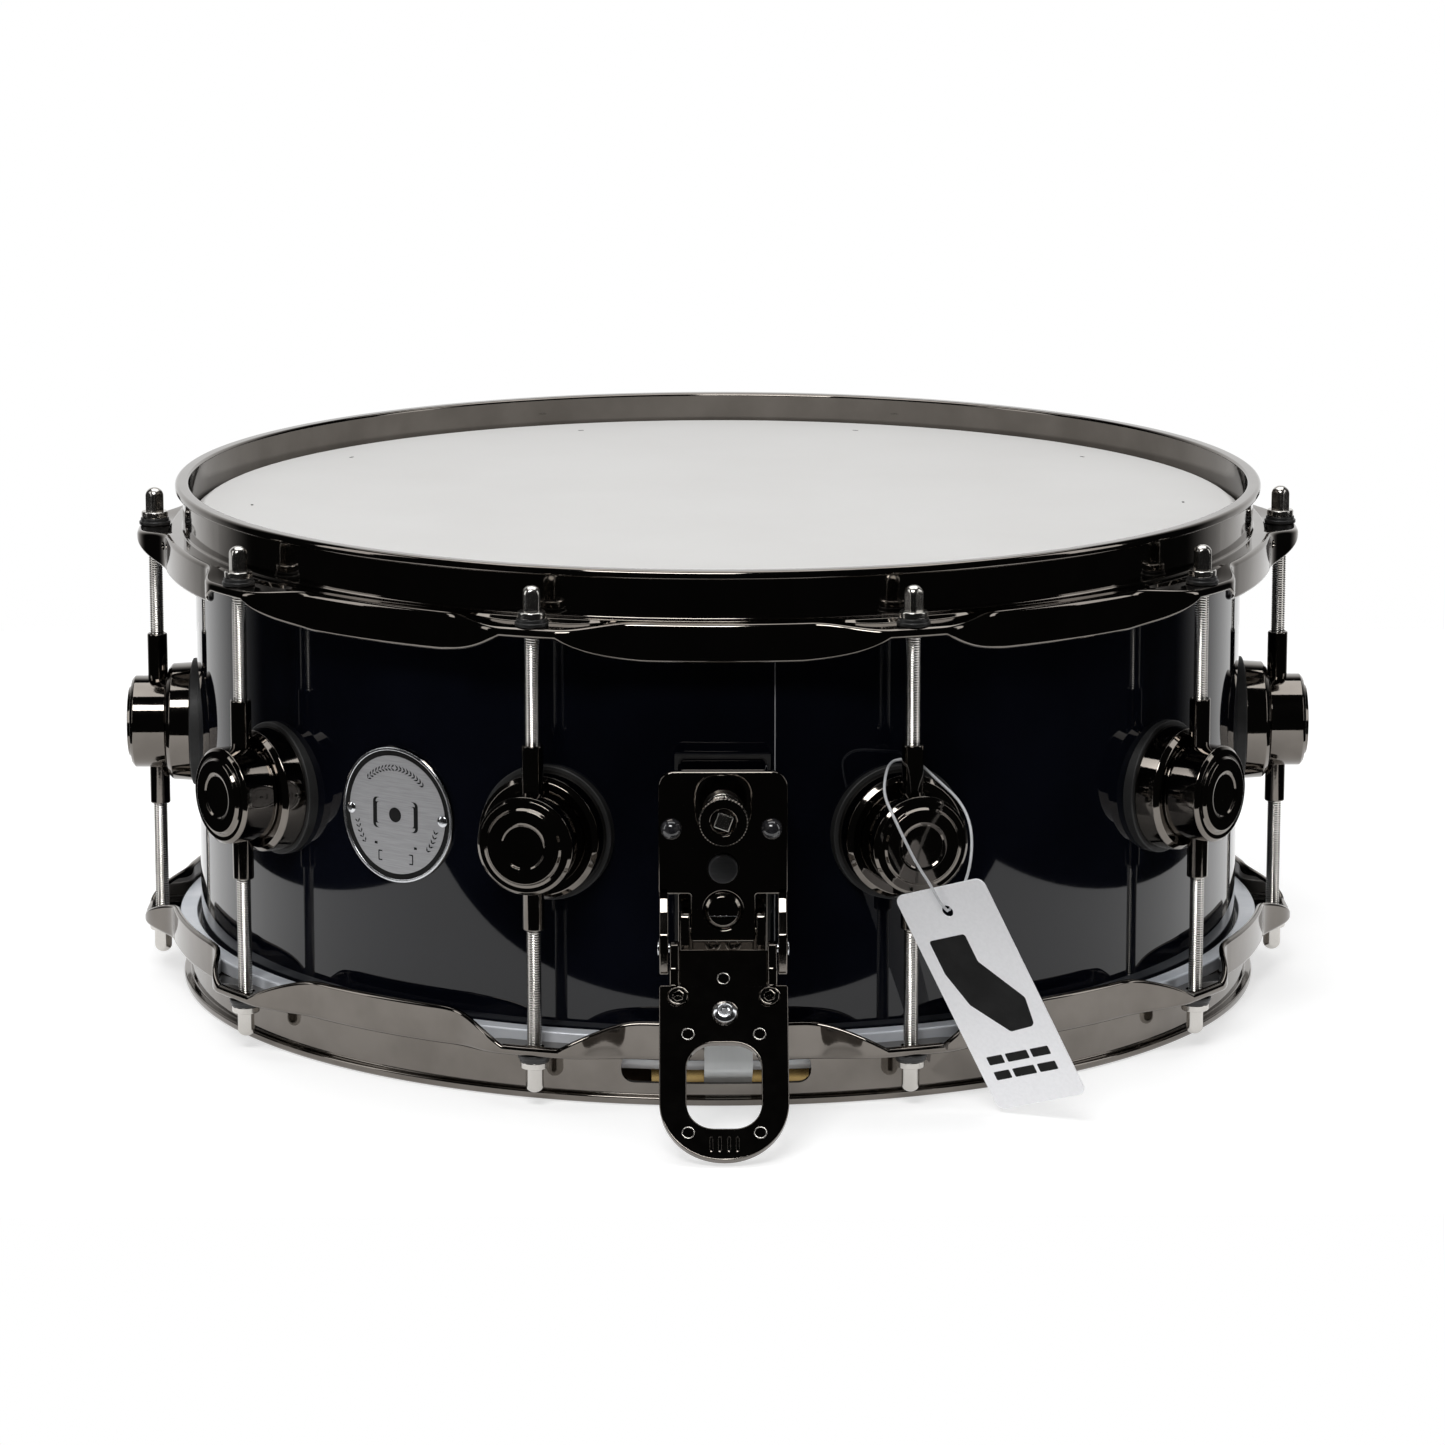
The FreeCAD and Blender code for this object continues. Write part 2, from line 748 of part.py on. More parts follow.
def gate_cutter(side):
    """The slot through the lower hoop's wall for a snare strap, on the front (1) or the back (-1)."""
    left, right = -value("gate_left"), value("gate_right")
    low = value("mid_height - gate_bottom")
    height = value("gate_bottom - gate_top")
    depth = value("lip_outer") - value("shell_inner")
    slot = Part.makeBox(right - left, depth, height, FreeCAD.Vector(left, -value("lip_outer"), low))
    corners = [edge for edge in slot.Edges if straight_along(ALONG_Y)(edge)]
    slot = slot.makeFillet(value("gate_round"), corners)
    if side < 0:
        slot = slot.mirror(FreeCAD.Vector(), ALONG_Y)
    return slot


def side_holes():
    """The small holes through the upper skirt, beside the ears at the drum's left and right."""
    height = FreeCAD.Vector(0, 0, value("mid_height + side_hole_high"))
    made = []
    for side in (-1, 1):
        angle = math.radians(side * value("side_hole_angle"))
        out = FreeCAD.Vector(math.sin(angle), -math.cos(angle), 0)
        start = out * value("side_hole_start") + height
        made.append(Part.makeCylinder(value("side_hole_radius"), value("side_hole_depth"), start, out))
    return made


def hoops():
    upper = hoop_solid()
    lower = upper.mirror(FreeCAD.Vector(0, 0, value("mid_height")), ALONG_Z)
    lower = lower.cut([gate_cutter(1), gate_cutter(-1)])
    upper = upper.cut(side_holes())
    for name, solid in (("top_hoop", upper), ("bottom_hoop", lower)):
        feature = doc.addObject("Part::Feature", name)
        feature.Label = name
        feature.Shape = solid
        feature.Placement = FreeCAD.Placement()
        parts.append(feature)


def head_film(name, sign):
    body = new_body(name)
    outline = [
        ("0", "edge_height"), ("0", "edge_height + film_thick"), ("edge_radius", "edge_height + film_thick"),
        ("collar_film", "collar_film_top"), ("collar_film", "film_fold"), ("film_tail_outer", "film_fold"),
        ("film_tail_outer", "film_tail_low"), ("film_tail_inner", "film_tail_low"),
        ("film_tail_inner", "film_fold_under"), ("collar_film_inner", "film_fold_under"),
        ("collar_film_inner", "collar_film_low"), ("edge_radius", "edge_height")]
    turned(body, "film", [(across, f"{sign}({up})") for across, up in outline])


def flesh_hoop(name, sign):
    body = new_body(name)
    outline = [
        ("flesh_inner", "flesh_low"), ("flesh_outer", "flesh_low"), ("flesh_outer", "flesh_outer_top"),
        ("flesh_outer_wall", "flesh_outer_top"), ("flesh_outer_wall", "flesh_floor"),
        ("flesh_inner_wall", "flesh_floor"), ("flesh_inner_wall", "flesh_inner_top"),
        ("flesh_inner", "flesh_inner_top")]
    turned(body, "channel", [(across, f"{sign}({up})") for across, up in outline])


def badge():
    body = new_body("badge", "badge_angle")
    turned(body, "band", box("badge_back", "-badge_radius", "badge_front", "badge_radius"))
    big = "badge_front + 5"
    cut(body, "outside", "front", "0", big, box(f"-({big})", f"-({big})", big, big),
        [("0", "0", "badge_radius")])
    cut(body, "back_half", "front", f"-({big})", "0", box(f"-({big})", f"-({big})", big, big))
    cut(body, "tack_holes", "front", "0", big, circles=[
        ("-tack_offset", "0", "tack_radius"), ("tack_offset", "0", "tack_radius")])


def badge_tacks():
    body = new_body("badge_tacks", "badge_angle")
    pad(body, "tacks", "front", "shell_inner + 2", "tack_front", circles=[
        ("-tack_offset", "0", "tack_radius"), ("tack_offset", "0", "tack_radius")])
    body.Tip = hollow_back(body, "shell_side", "skin_radius", "-5", "5")


def vent_grommet():
    body = new_body("vent_grommet", "vent_angle")
    spindle(body, "eyelet", [
        ("shell_inner", "grommet_bore"), ("grommet_front", "grommet_bore"),
        ("grommet_front", "grommet_radius"), ("wrap_radius", "grommet_radius"),
        ("wrap_radius", "vent_hole_radius"),
        ("shell_inner", "vent_hole_radius")])


def strainer_gaskets():
    body = new_body("strainer_gaskets")
    holes = [("0", "-strainer_screw_low", "screw_hole_radius")]
    pad(body, "front_gasket", "front", "shell_inner", "pad_front",
        box("-pad_half", "-pad_low", "pad_half", "pad_high"),
        holes + [("0", "strainer_screw_high", "screw_hole_radius")])
    pad(body, "rear_gasket", "front", "-pad_front", "-shell_inner",
        box("-butt_half - 1", "-butt_low - 1", "butt_half + 1", "-butt_high + 1"),
        holes + [("0", "-butt_screw_high", "screw_hole_radius")])
    body.Tip = hollow_back(body, "shell_side", "skin_radius", "-pad_low - 1", "pad_high + 1")


def throwoff_housing():
    body = new_body("throwoff_housing")
    pad(body, "wall", "front", "pad_front", "house_wall",
        box("-house_half", "-house_low", "house_half", "house_high"))
    pad(body, "block", "front", "house_wall", "house_front",
        box("-house_half", "-house_block_low", "house_half", "house_high"))
    pad(body, "nose", "front", "house_wall", "house_front",
        box("-nose_half", "-nose_low", "nose_half", "-house_block_low"))
    pad(body, "foot", "front", "house_wall", "foot_front",
        box("-nose_half", "-house_low", "nose_half", "-foot_high"))
    for sign, side in (("-", "left"), ("", "right")):
        cut(body, f"{side}_guide_bore", "level", "-guide_low", "-guide_high",
            circles=[(f"{sign}guide_offset", "-guide_centre", "guide_radius")])
    cut(body, "knob_socket", "front", "knob_bore_back", "house_front",
        circles=[("0", "knob_high", "knob_bore")])
    cut(body, "plate_screw_bore", "front", "plate_screw_tip", "house_front",
        circles=[("0", "-plate_screw_low", "plate_screw_radius")])
    cut(body, "mount_bores", "front", "pad_front", "strainer_screw_tip", circles=[
        ("0", "strainer_screw_high", "strainer_screw_radius"),
        ("0", "-strainer_screw_low", "strainer_screw_radius")])


def guide_rods():
    body = new_body("guide_rods")
    for sign, side in (("-", "left"), ("", "right")):
        pad(body, f"{side}_rod", "level", "-guide_low", "-guide_high",
            circles=[(f"{sign}guide_offset", "-guide_centre", "guide_radius")])


def throwoff_faceplate():
    body = new_body("throwoff_faceplate")
    plate = pad(body, "plate", "front", "house_front", "plate_front", [
        ("-plate_half", "plate_high"), ("-plate_half", "-plate_low"), ("-plate_tongue_half", "-plate_low"),
        ("-plate_tongue_half", "-plate_tongue_low"), ("plate_tongue_half", "-plate_tongue_low"),
        ("plate_tongue_half", "-plate_low"), ("plate_half", "-plate_low"), ("plate_half", "plate_high")])
    corner = value("mid_height + plate_high") - 1
    rounded(body, "top_corners", plate, "plate_corner",
            straight_along(ALONG_Y, lambda place: place.z > corner))
    leg = pad(body, "leg", "side", "leg_inner", "leg_outer", forward([
        ("house_front", "-plate_low"), ("plate_front", "-plate_low"), ("leg_knee_front", "-leg_knee"),
        ("hinge_front + leg_radius", "-hinge_low"), ("leg_foot_front", "-leg_foot"),
        ("leg_foot_back", "-leg_foot"), ("hinge_front - leg_radius", "-hinge_low"),
        ("house_front", "-leg_knee")]))
    eye = pad(body, "eye", "side", "leg_inner", "leg_outer",
              circles=[("-hinge_front", "-hinge_low", "leg_radius")])
    pin_hole = cut(body, "pin_hole", "side", "leg_inner", "leg_outer",
                   circles=[("-hinge_front", "-hinge_low", "pin_radius")])
    mirrored(body, "other_leg", [leg, eye, pin_hole], "YZ_Plane")
    arch = cut(body, "arch", "front", "house_front", "plate_front",
               box("-window_half", "knob_high", "window_half", "window_top"))
    top = value("mid_height + window_top")
    rounded(body, "arch_corners", arch, "window_round",
            straight_along(ALONG_Y, lambda place: abs(place.z - top) < 0.01))
    cut(body, "arch_foot", "front", "house_front", "plate_front",
        circles=[("0", "knob_high", "window_half")])
    cut(body, "magnet_hole", "front", "house_front", "plate_front",
        circles=[("0", "-magnet_low", "magnet_hole")])
    cut(body, "screw_recess", "front", "plate_screw_seat", "plate_front",
        circles=[("0", "-plate_screw_low", "plate_screw_recess")])
    cut(body, "screw_hole", "front", "house_front", "plate_screw_seat",
        circles=[("0", "-plate_screw_low", "plate_screw_radius")])
    cut(body, "bumper_holes", "front", "bumper_back", "plate_front", circles=[
        ("-bumper_left", "bumper_high", "bumper_stem"), ("bumper_right", "bumper_high", "bumper_stem")])


def strainer_mount_screws():
    body = new_body("strainer_mount_screws")
    spindle(body, "plate_screw", [
        ("plate_screw_tip", "0"), ("plate_screw_tip", "plate_screw_radius"),
        ("plate_screw_seat", "plate_screw_radius"), ("plate_screw_seat", "plate_screw_head"),
        ("plate_screw_front", "plate_screw_head"), ("plate_screw_front", "0")],
        height="mid_height - plate_screw_low")
    corners = screw_corners("strainer_screw_radius", "strainer_screw_tip", "strainer_washer_radius")
    for name, height in (("high_screw", "strainer_screw_high"), ("low_screw", "-strainer_screw_low")):
        spindle(body, name, corners, height=f"mid_height + {height}")
    for name, height in (("butt_high", "-butt_screw_high"), ("butt_low", "-strainer_screw_low")):
        turned(body, name, corners, view="side", axis="H_Axis", height=f"mid_height + {height}")


def magnet():
    body = new_body("magnet")
    pad(body, "disc", "front", "house_front", "magnet_front",
        circles=[("0", "-magnet_low", "magnet_radius")])


def bumpers():
    """Rubber domes that the closed lever rests against."""
    body = new_body("bumpers")
    for name, across in (("left", "-bumper_left"), ("right", "bumper_right")):
        pad(body, f"{name}_stem", "front", "bumper_back", "plate_front",
            circles=[(across, "bumper_high", "bumper_stem")])
        dome = pad(body, f"{name}_dome", "front", "plate_front", "bumper_front",
                   circles=[(across, "bumper_high", "bumper_radius")])
        tip = -value("bumper_front")
        side = value(across)
        rounded(body, f"{name}_top", dome, "bumper_radius - 1",
                lambda edge, tip=tip, side=side: isinstance(edge.Curve, Part.Circle)
                and abs(edge.Curve.Center.y - tip) < 0.01 and abs(edge.Curve.Center.x - side) < 0.01)


def hinge_pins():
    body = new_body("hinge_pins")
    place = ("-hinge_front", "-hinge_low")
    pin = pad(body, "pin", "side", "lever_ear_inner", "leg_outer", circles=[(*place, "pin_radius")])
    head = pad(body, "pin_head", "side", "leg_outer", "pin_head_end", circles=[(*place, "pin_head_radius")])
    mirrored(body, "other_pin", [pin, head], "YZ_Plane")


def tension_knob():
    body = new_body("knob")
    spindle(body, "knob_body", [
        ("knob_shaft_back", "0"), ("knob_shaft_back", "knob_shaft"), ("knob_neck_back", "knob_shaft"),
        ("knob_neck_back", "knob_neck"), ("knob_back", "knob_neck"),
        ("knob_front - knob_edge", "knob_radius"), ("knob_front", "knob_radius - knob_edge"),
        ("knob_front", "knob_well_radius"), ("knob_well", "knob_well_radius"), ("knob_well", "0")],
        height="mid_height + knob_high")
    pad(body, "post", "front", "knob_well", "knob_post_front",
        box("-knob_post_half", "knob_high - knob_post_half",
            "knob_post_half", "knob_high + knob_post_half"))


def carriage():
    body = new_body("carriage")
    pad(body, "core", "front", "carriage_back", "carriage_front",
        box("-rail_outer", "-carriage_low", "rail_outer", "-carriage_high"))
    rail = pad(body, "rail", "side", "rail_inner", "rail_outer", forward(
        box("carriage_back", "-rail_low", "rail_front", "-rail_high")))
    mirrored(body, "other_rail", [rail], "YZ_Plane")
    for sign, side in (("-", "left"), ("", "right")):
        cut(body, f"{side}_guide_bore", "level", "-carriage_low", "-carriage_high",
            circles=[(f"{sign}guide_offset", "-guide_centre", "guide_bore")])
        cut(body, f"{side}_screw_bore", "front", "clamp_screw_back", "carriage_front",
            circles=[(f"{sign}clamp_screw_offset", "-clamp_screw_low", "clamp_screw_radius")])
    front = -value("rail_front")
    rounded(body, "rail_corners", body.Tip, "rail_round",
            straight_along(ALONG_X, lambda place: abs(place.y - front) < 0.01))


def clamp_bar():
    body = new_body("clamp_bar")
    pad(body, "bar", "front", "clamp_back", "clamp_front",
        box("-carriage_half", "-carriage_low", "carriage_half", "-clamp_high"), [
            ("-clamp_screw_offset", "-clamp_screw_low", "clamp_screw_radius"),
            ("clamp_screw_offset", "-clamp_screw_low", "clamp_screw_radius")])


def clamp_screws():
    body = new_body("clamp_screws")
    for sign, side in (("-", "left"), ("", "right")):
        place = (f"{sign}clamp_screw_offset", "-clamp_screw_low")
        pad(body, f"{side}_shank", "front", "clamp_screw_back", "clamp_front",
            circles=[(*place, "clamp_screw_radius")])
        pad(body, f"{side}_head", "front", "clamp_front", "clamp_screw_front",
            circles=[(*place, "clamp_screw_head")])


def hinge_placement():
    return FreeCAD.Placement(FreeCAD.Vector(0, -value("hinge_front"), value("mid_height - hinge_low")),
                             FreeCAD.Rotation(ALONG_X, -value("lever_tilt")))


def lever():
    """The throw-off lever, drawn hanging from its hinge and then tilted to where it rests."""
    body = new_body("lever")
    plate = pad(body, "plate", "front", "-lever_back", "-lever_front", [
        ("-tongue_half", "-tongue_top"), ("-tongue_half", "-shoulder_low"),
        ("-lever_half", "-shoulder_low"), ("-lever_half", "-lever_tip"),
        ("lever_half", "-lever_tip"), ("lever_half", "-shoulder_low"),
        ("tongue_half", "-shoulder_low"), ("tongue_half", "-tongue_top")], height="0")
    tip = -value("lever_tip")
    rounded(body, "round_end", plate, "lever_round",
            straight_along(ALONG_Y, lambda place: abs(place.z - tip) < 0.01))
    window = cut(body, "window", "front", "-lever_back", "-lever_front",
                 box("-lever_window_half", "-lever_window_end", "lever_window_half", "-lever_window_top"),
                 height="0")
    half = value("lever_window_half")
    rounded(body, "window_corners", window, "lever_window_round",
            straight_along(ALONG_Y, lambda place: abs(abs(place.x) - half) < 0.01))
    ear = pad(body, "ear", "side", "lever_ear_inner", "lever_ear_outer", [
        ("-lever_ear_half", "0"), ("-lever_ear_half", "-lever_ear_bend"), ("lever_front", "-shoulder_low"),
        ("lever_front", "-lever_ear_end"), ("lever_back", "-lever_ear_end"), ("lever_ear_half", "0")],
        height="0")
    eye = pad(body, "eye", "side", "lever_ear_inner", "lever_ear_outer",
              circles=[("0", "0", "lever_ear_radius")], height="0")
    bore = cut(body, "pin_bore", "side", "lever_ear_inner", "lever_ear_outer",
               circles=[("0", "0", "guide_bore")], height="0")
    mirrored(body, "other_ear", [ear, eye, bore], "YZ_Plane")
    body.Placement = hinge_placement()


def lever_fasteners():
    body = new_body("lever_fasteners")
    places = [("-fastener_offset", "-fastener_low", "fastener_radius"),
              ("fastener_offset", "-fastener_low", "fastener_radius")]
    pad(body, "socket_screws", "front", "-lever_front", "fastener_proud", circles=places, height="0")
    pad(body, "strike_bolt", "front", "-lever_front", "strike_proud",
        circles=[("0", "-strike_low", "strike_radius")], height="0")
    body.Placement = hinge_placement()


def snare_straps():
    body = new_body("snare_straps")
    outline = [
        ("strap_outer", "-strap_top"), ("strap_outer", "-strap_bend"), ("strap_turn_outer", "-strap_turn"),
        ("strap_flat_start", "-strap_low"), ("strap_flat_end", "-strap_low"),
        ("strap_flat_end", "-strap_low + strap_thick"), ("strap_flat_start", "-strap_low + strap_thick"),
        ("strap_turn_inner", "-strap_turn + strap_thick"), ("strap_inner", "-strap_bend"),
        ("strap_inner", "-strap_top")]
    pad(body, "front_strap", "side", "-strap_left", "strap_right", forward(outline))
    pad(body, "rear_strap", "side", "-strap_left", "strap_right", outline)


def snare_end_plates():
    body = new_body("snare_end_plates")
    inner = "end_plate_front - end_plate_thick"
    profile = [
        ("end_plate_front", "-snare_top"), ("end_plate_front", "-end_plate_low"),
        ("end_plate_flange", "-end_plate_low"), ("end_plate_flange", "-end_plate_low + end_plate_thick"),
        (inner, "-end_plate_low + end_plate_thick"), (inner, "-snare_top")]
    pad(body, "front_plate", "side", "-snare_left", "snare_right", forward(profile))
    pad(body, "rear_plate", "side", "-snare_left", "snare_right", profile)


def snare_wires():
    body = new_body("snare_wires")
    reach = "end_plate_front - end_plate_thick"
    wire = pad(body, "wire", "front", f"-({reach})", reach, circles=[
        ("-snare_left + 2 * wire_radius", "-snare_top - wire_radius", "wire_radius")])
    rows = body.newObject("PartDesign::LinearPattern", "wires")
    rows.Originals = [wire]
    rows.Direction = (origin(body, "X_Axis"), [""])
    rows.setExpression("Length", bound("snare_left + snare_right - 4 * wire_radius"))
    rows.setExpression("Occurrences", bound("wire_count"))
    body.Tip = rows


def butt_plate():
    body = new_body("butt_plate")
    pad(body, "plate", "front", "-butt_front", "-pad_front",
        box("-butt_half", "-butt_low", "butt_half", "-butt_high"))
    cut(body, "mount_bores", "front", "-strainer_screw_tip", "-pad_front", circles=[
        ("0", "-butt_screw_high", "strainer_screw_radius"),
        ("0", "-strainer_screw_low", "strainer_screw_radius")])
    cut(body, "clamp_bores", "front", "-butt_front", "-butt_screw_back", circles=[
        ("-butt_screw_offset", "-butt_screw_low", "clamp_screw_radius"),
        ("butt_screw_offset", "-butt_screw_low", "clamp_screw_radius")])


def butt_clamp_bar():
    body = new_body("butt_clamp_bar")
    pad(body, "bar", "front", "-butt_clamp_front", "-clamp_back",
        box("-butt_half", "-butt_clamp_low", "butt_half", "-butt_clamp_high"), [
            ("-butt_screw_offset", "-butt_screw_low", "clamp_screw_radius"),
            ("butt_screw_offset", "-butt_screw_low", "clamp_screw_radius")])


def butt_screws():
    body = new_body("butt_screws")
    for sign, side in (("-", "left"), ("", "right")):
        place = (f"{sign}butt_screw_offset", "-butt_screw_low")
        pad(body, f"{side}_shank", "front", "-butt_clamp_front", "-butt_screw_back",
            circles=[(*place, "clamp_screw_radius")])
        pad(body, f"{side}_head", "front", "-butt_screw_head_front", "-butt_clamp_front",
            circles=[(*place, "clamp_screw_head")])


def hang_tag():
    body = new_body("hang_tag")
    card = pad(body, "card", "front", "-tag_thick / 2", "tag_thick / 2",
               box("-tag_half_width", "-tag_half_height", "tag_half_width", "tag_half_height"),
               [("-tag_hole_side", "tag_hole_high", "tag_hole_radius")], height="0")
    rounded(body, "card_corners", card, "tag_round", straight_along(ALONG_Y))
    body.Placement = FreeCAD.Placement(
        FreeCAD.Vector(value("tag_x"), value("tag_y"), value("tag_z")),
        FreeCAD.Rotation(value("tag_yaw"), value("tag_pitch"), value("tag_roll")))


def cord_wire(route):
    """Straight runs joined by tangent arcs, each as large as its two runs allow, and the arcs' radii."""
    points = [FreeCAD.Vector(*place) for place in route]
    edges, radii = [], []
    start = points[0]
    for before, corner, after in zip(points, points[1:], points[2:]):
        arriving = (corner - before).normalize()
        leaving = (after - corner).normalize()
        turn = arriving.getAngle(leaving)
        setback = 0.45 * min(before.distanceToPoint(corner), corner.distanceToPoint(after))
        radius = setback / math.tan(turn / 2)
        arc_start = corner - arriving * setback
        arc_end = corner + leaving * setback
        inward = (leaving - arriving).normalize()
        arc_middle = corner + inward * (radius / math.cos(turn / 2) - radius)
        edges.append(Part.LineSegment(start, arc_start).toShape())
        edges.append(Part.Arc(arc_start, arc_middle, arc_end).toShape())
        radii.append(radius)
        start = arc_end
    edges.append(Part.LineSegment(start, points[-1]).toShape())
    return Part.Wire(edges), radii


def tag_loop():
    path, radii = cord_wire(TAG_LOOP)
    along = FreeCAD.Vector(*TAG_LOOP[1]) - FreeCAD.Vector(*TAG_LOOP[0])
    radius = value("loop_radius")
    section = Part.Wire(Part.makeCircle(radius, FreeCAD.Vector(*TAG_LOOP[0]), along))
    strand = path.makePipeShell([section], True, False)
    ideal = math.pi * radius ** 2 * path.Length
    print("tag loop length", round(path.Length, 1), "radii", [round(r, 1) for r in radii])
    print("tag loop volume over section times length", round(strand.Volume / ideal, 4))
    feature = doc.addObject("Part::Feature", "tag_loop")
    feature.Label = "tag_loop"
    feature.Shape = strand
    feature.Placement = FreeCAD.Placement()
    parts.append(feature)


shell()
finish_wrap()
reinforcement_rings()
lug_gaskets()
lug_turrets()
lug_tubes()
lug_screws()
hoops()
head_film("batter_head_film", "")
head_film("snare_head_film", "-")
flesh_hoop("batter_flesh_hoop", "")
flesh_hoop("snare_flesh_hoop", "-")
tension_rods()
rod_washers("rod_washers_top", "nylon_bottom", "nylon_top")
rod_washers("rod_washers_bottom", "-nylon_top", "-nylon_bottom")
badge()
badge_tacks()
vent_grommet()
strainer_gaskets()
throwoff_housing()
guide_rods()
throwoff_faceplate()
strainer_mount_screws()
magnet()
bumpers()
hinge_pins()
tension_knob()
carriage()
clamp_bar()
clamp_screws()
lever()
lever_fasteners()
snare_straps()
snare_end_plates()
snare_wires()
butt_plate()
butt_clamp_bar()
butt_screws()
hang_tag()
tag_loop()
doc.recompute()

faults = [item.Name for item in doc.Objects if {"Invalid", "Error"} & set(item.State)]
faults += [part.Label for part in parts if part.Shape.isNull() or not part.Shape.isValid()]
for item in doc.Objects:
    if item.TypeId in ("PartDesign::Pocket", "PartDesign::Groove"):
        if item.BaseFeature.Shape.Volume - item.Shape.Volume < 0.01:
            faults.append(f"{item.Name} cuts nothing")
if faults:
    raise RuntimeError(f"not whole: {faults}")

os.makedirs("parts", exist_ok=True)
for part in parts:
    part.Shape.exportStep(f"parts/{part.Label}.step")
print(len(parts), "sub-parts written")
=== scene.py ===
import math

import bmesh
import bpy
import numpy as np
from mathutils import Matrix, Vector


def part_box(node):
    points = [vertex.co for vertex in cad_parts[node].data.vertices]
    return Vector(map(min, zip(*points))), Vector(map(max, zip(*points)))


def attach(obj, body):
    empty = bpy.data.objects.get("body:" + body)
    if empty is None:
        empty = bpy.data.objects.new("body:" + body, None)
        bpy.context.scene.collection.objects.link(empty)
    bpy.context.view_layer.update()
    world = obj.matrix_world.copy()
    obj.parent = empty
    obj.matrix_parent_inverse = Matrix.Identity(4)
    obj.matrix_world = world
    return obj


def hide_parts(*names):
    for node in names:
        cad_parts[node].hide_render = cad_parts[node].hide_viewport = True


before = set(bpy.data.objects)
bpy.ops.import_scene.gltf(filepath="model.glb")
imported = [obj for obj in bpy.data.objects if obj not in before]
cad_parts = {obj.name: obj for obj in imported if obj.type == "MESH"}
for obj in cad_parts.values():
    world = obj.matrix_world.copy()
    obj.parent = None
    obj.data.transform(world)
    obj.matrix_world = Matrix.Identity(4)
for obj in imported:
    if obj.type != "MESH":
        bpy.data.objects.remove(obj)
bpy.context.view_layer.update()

# Lengths below are in millimetres. Heights count from the drum's mid height, and a distance "out" or
# "forward" counts from the drum's axis.
MM = 0.001
MID = (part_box("top_hoop")[1][2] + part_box("bottom_hoop")[0][2]) / 2 / MM
DRUM = "drum"


def middle(node):
    low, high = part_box(node)
    return (Vector(low) + Vector(high)) / 2 / MM


ROD_CIRCLE = math.hypot(*middle("tension_rod_top_1").xy)
ROD_COUNT = 10
ROD_ANGLES = [math.atan2(middle(f"tension_rod_top_{n}").x, -middle(f"tension_rod_top_{n}").y)
              for n in range(1, ROD_COUNT + 1)]
WRAP_RADIUS = 177.5
SKIN_RADIUS = 177.52
LEVER_TILT = math.radians(-41.5)
HINGE_FORWARD = 204.0
HINGE_HEIGHT = -29.0


# -------- places

shift = Matrix.Translation


def spin(angle, axis="Z"):
    return Matrix.Rotation(angle, 4, axis)


def facing(angle=0.0, height=0.0):
    """From a drawing seen from outside (x right, y up, z outwards from the axis) to the drum."""
    upright = spin(math.pi / 2, "X")
    return shift((0, 0, MID + height)) @ spin(angle) @ upright


def standing(angle, out):
    """From a piece drawn about a vertical axis to its place at that angle and distance from the axis."""
    place = shift((out * math.sin(angle), -out * math.cos(angle), MID))
    return place @ spin(angle)


# From a side view (x forward, y up, z to the left) to the drum.
SIDE_LOCAL = Matrix(((0, 0, -1, 0), (-1, 0, 0, 0), (0, 1, 0, 0), (0, 0, 0, 1)))
SIDE = shift((0, 0, MID)) @ SIDE_LOCAL
FRONT = facing()
BACK = facing(math.pi)
# Turned over about the mid height, from the upper half of the drum to the lower.
FLIPPED = (shift((0, 0, MID)) @ spin(math.pi, "X")
           @ shift((0, 0, -MID)))
LEVER = shift((0, -HINGE_FORWARD, MID + HINGE_HEIGHT)) @ spin(LEVER_TILT, "X")
LEVER_FRONT = LEVER @ spin(math.pi / 2, "X")
LEVER_SIDE = LEVER @ SIDE_LOCAL


# -------- shapes

def soft(corners, steps=4, closed=True):
    """An outline of corners (x, y) or (x, y, radius), each radius drawn as an arc."""
    points = []
    count = len(corners)
    for index, corner in enumerate(corners):
        place = Vector(corner[:2])
        radius = corner[2] if len(corner) > 2 else 0
        if radius == 0 or (not closed and index in (0, count - 1)):
            points.append(tuple(place))
            continue
        before = (Vector(corners[index - 1][:2]) - place).normalized()
        after = (Vector(corners[(index + 1) % count][:2]) - place).normalized()
        half = before.angle(after) / 2
        if half > math.pi / 2 - 1e-4:
            points += [tuple(place)] * (steps + 1)
            continue
        centre = place + (before + after).normalized() * (radius / math.sin(half))
        start = place + before * (radius / math.tan(half)) - centre
        end = place + after * (radius / math.tan(half)) - centre
        first = math.atan2(start.y, start.x)
        sweep = math.remainder(math.atan2(end.y, end.x) - first, 2 * math.pi)
        for step in range(steps + 1):
            turn = first + sweep * step / steps
            points.append((centre.x + radius * math.cos(turn), centre.y + radius * math.sin(turn)))
    return points


def around(steps, start=0.0):
    """Angles in equal steps round a full turn."""
    return [start + 2 * math.pi * step / steps for step in range(steps)]


def polar(radius, turn):
    return radius * math.cos(turn), radius * math.sin(turn)


def circle(radius, x=0.0, y=0.0, steps=48, start=0.0):
    return [(x + radius * math.cos(turn), y + radius * math.sin(turn)) for turn in around(steps, start)]


def rectangle(left, low, right, high, radius=0.0, steps=6):
    corners = ((left, low), (right, low), (right, high), (left, high))
    return soft([(x, y, radius) for x, y in corners], steps)


def mirrored(outline):
    return [(-x, y) for x, y in outline][::-1]


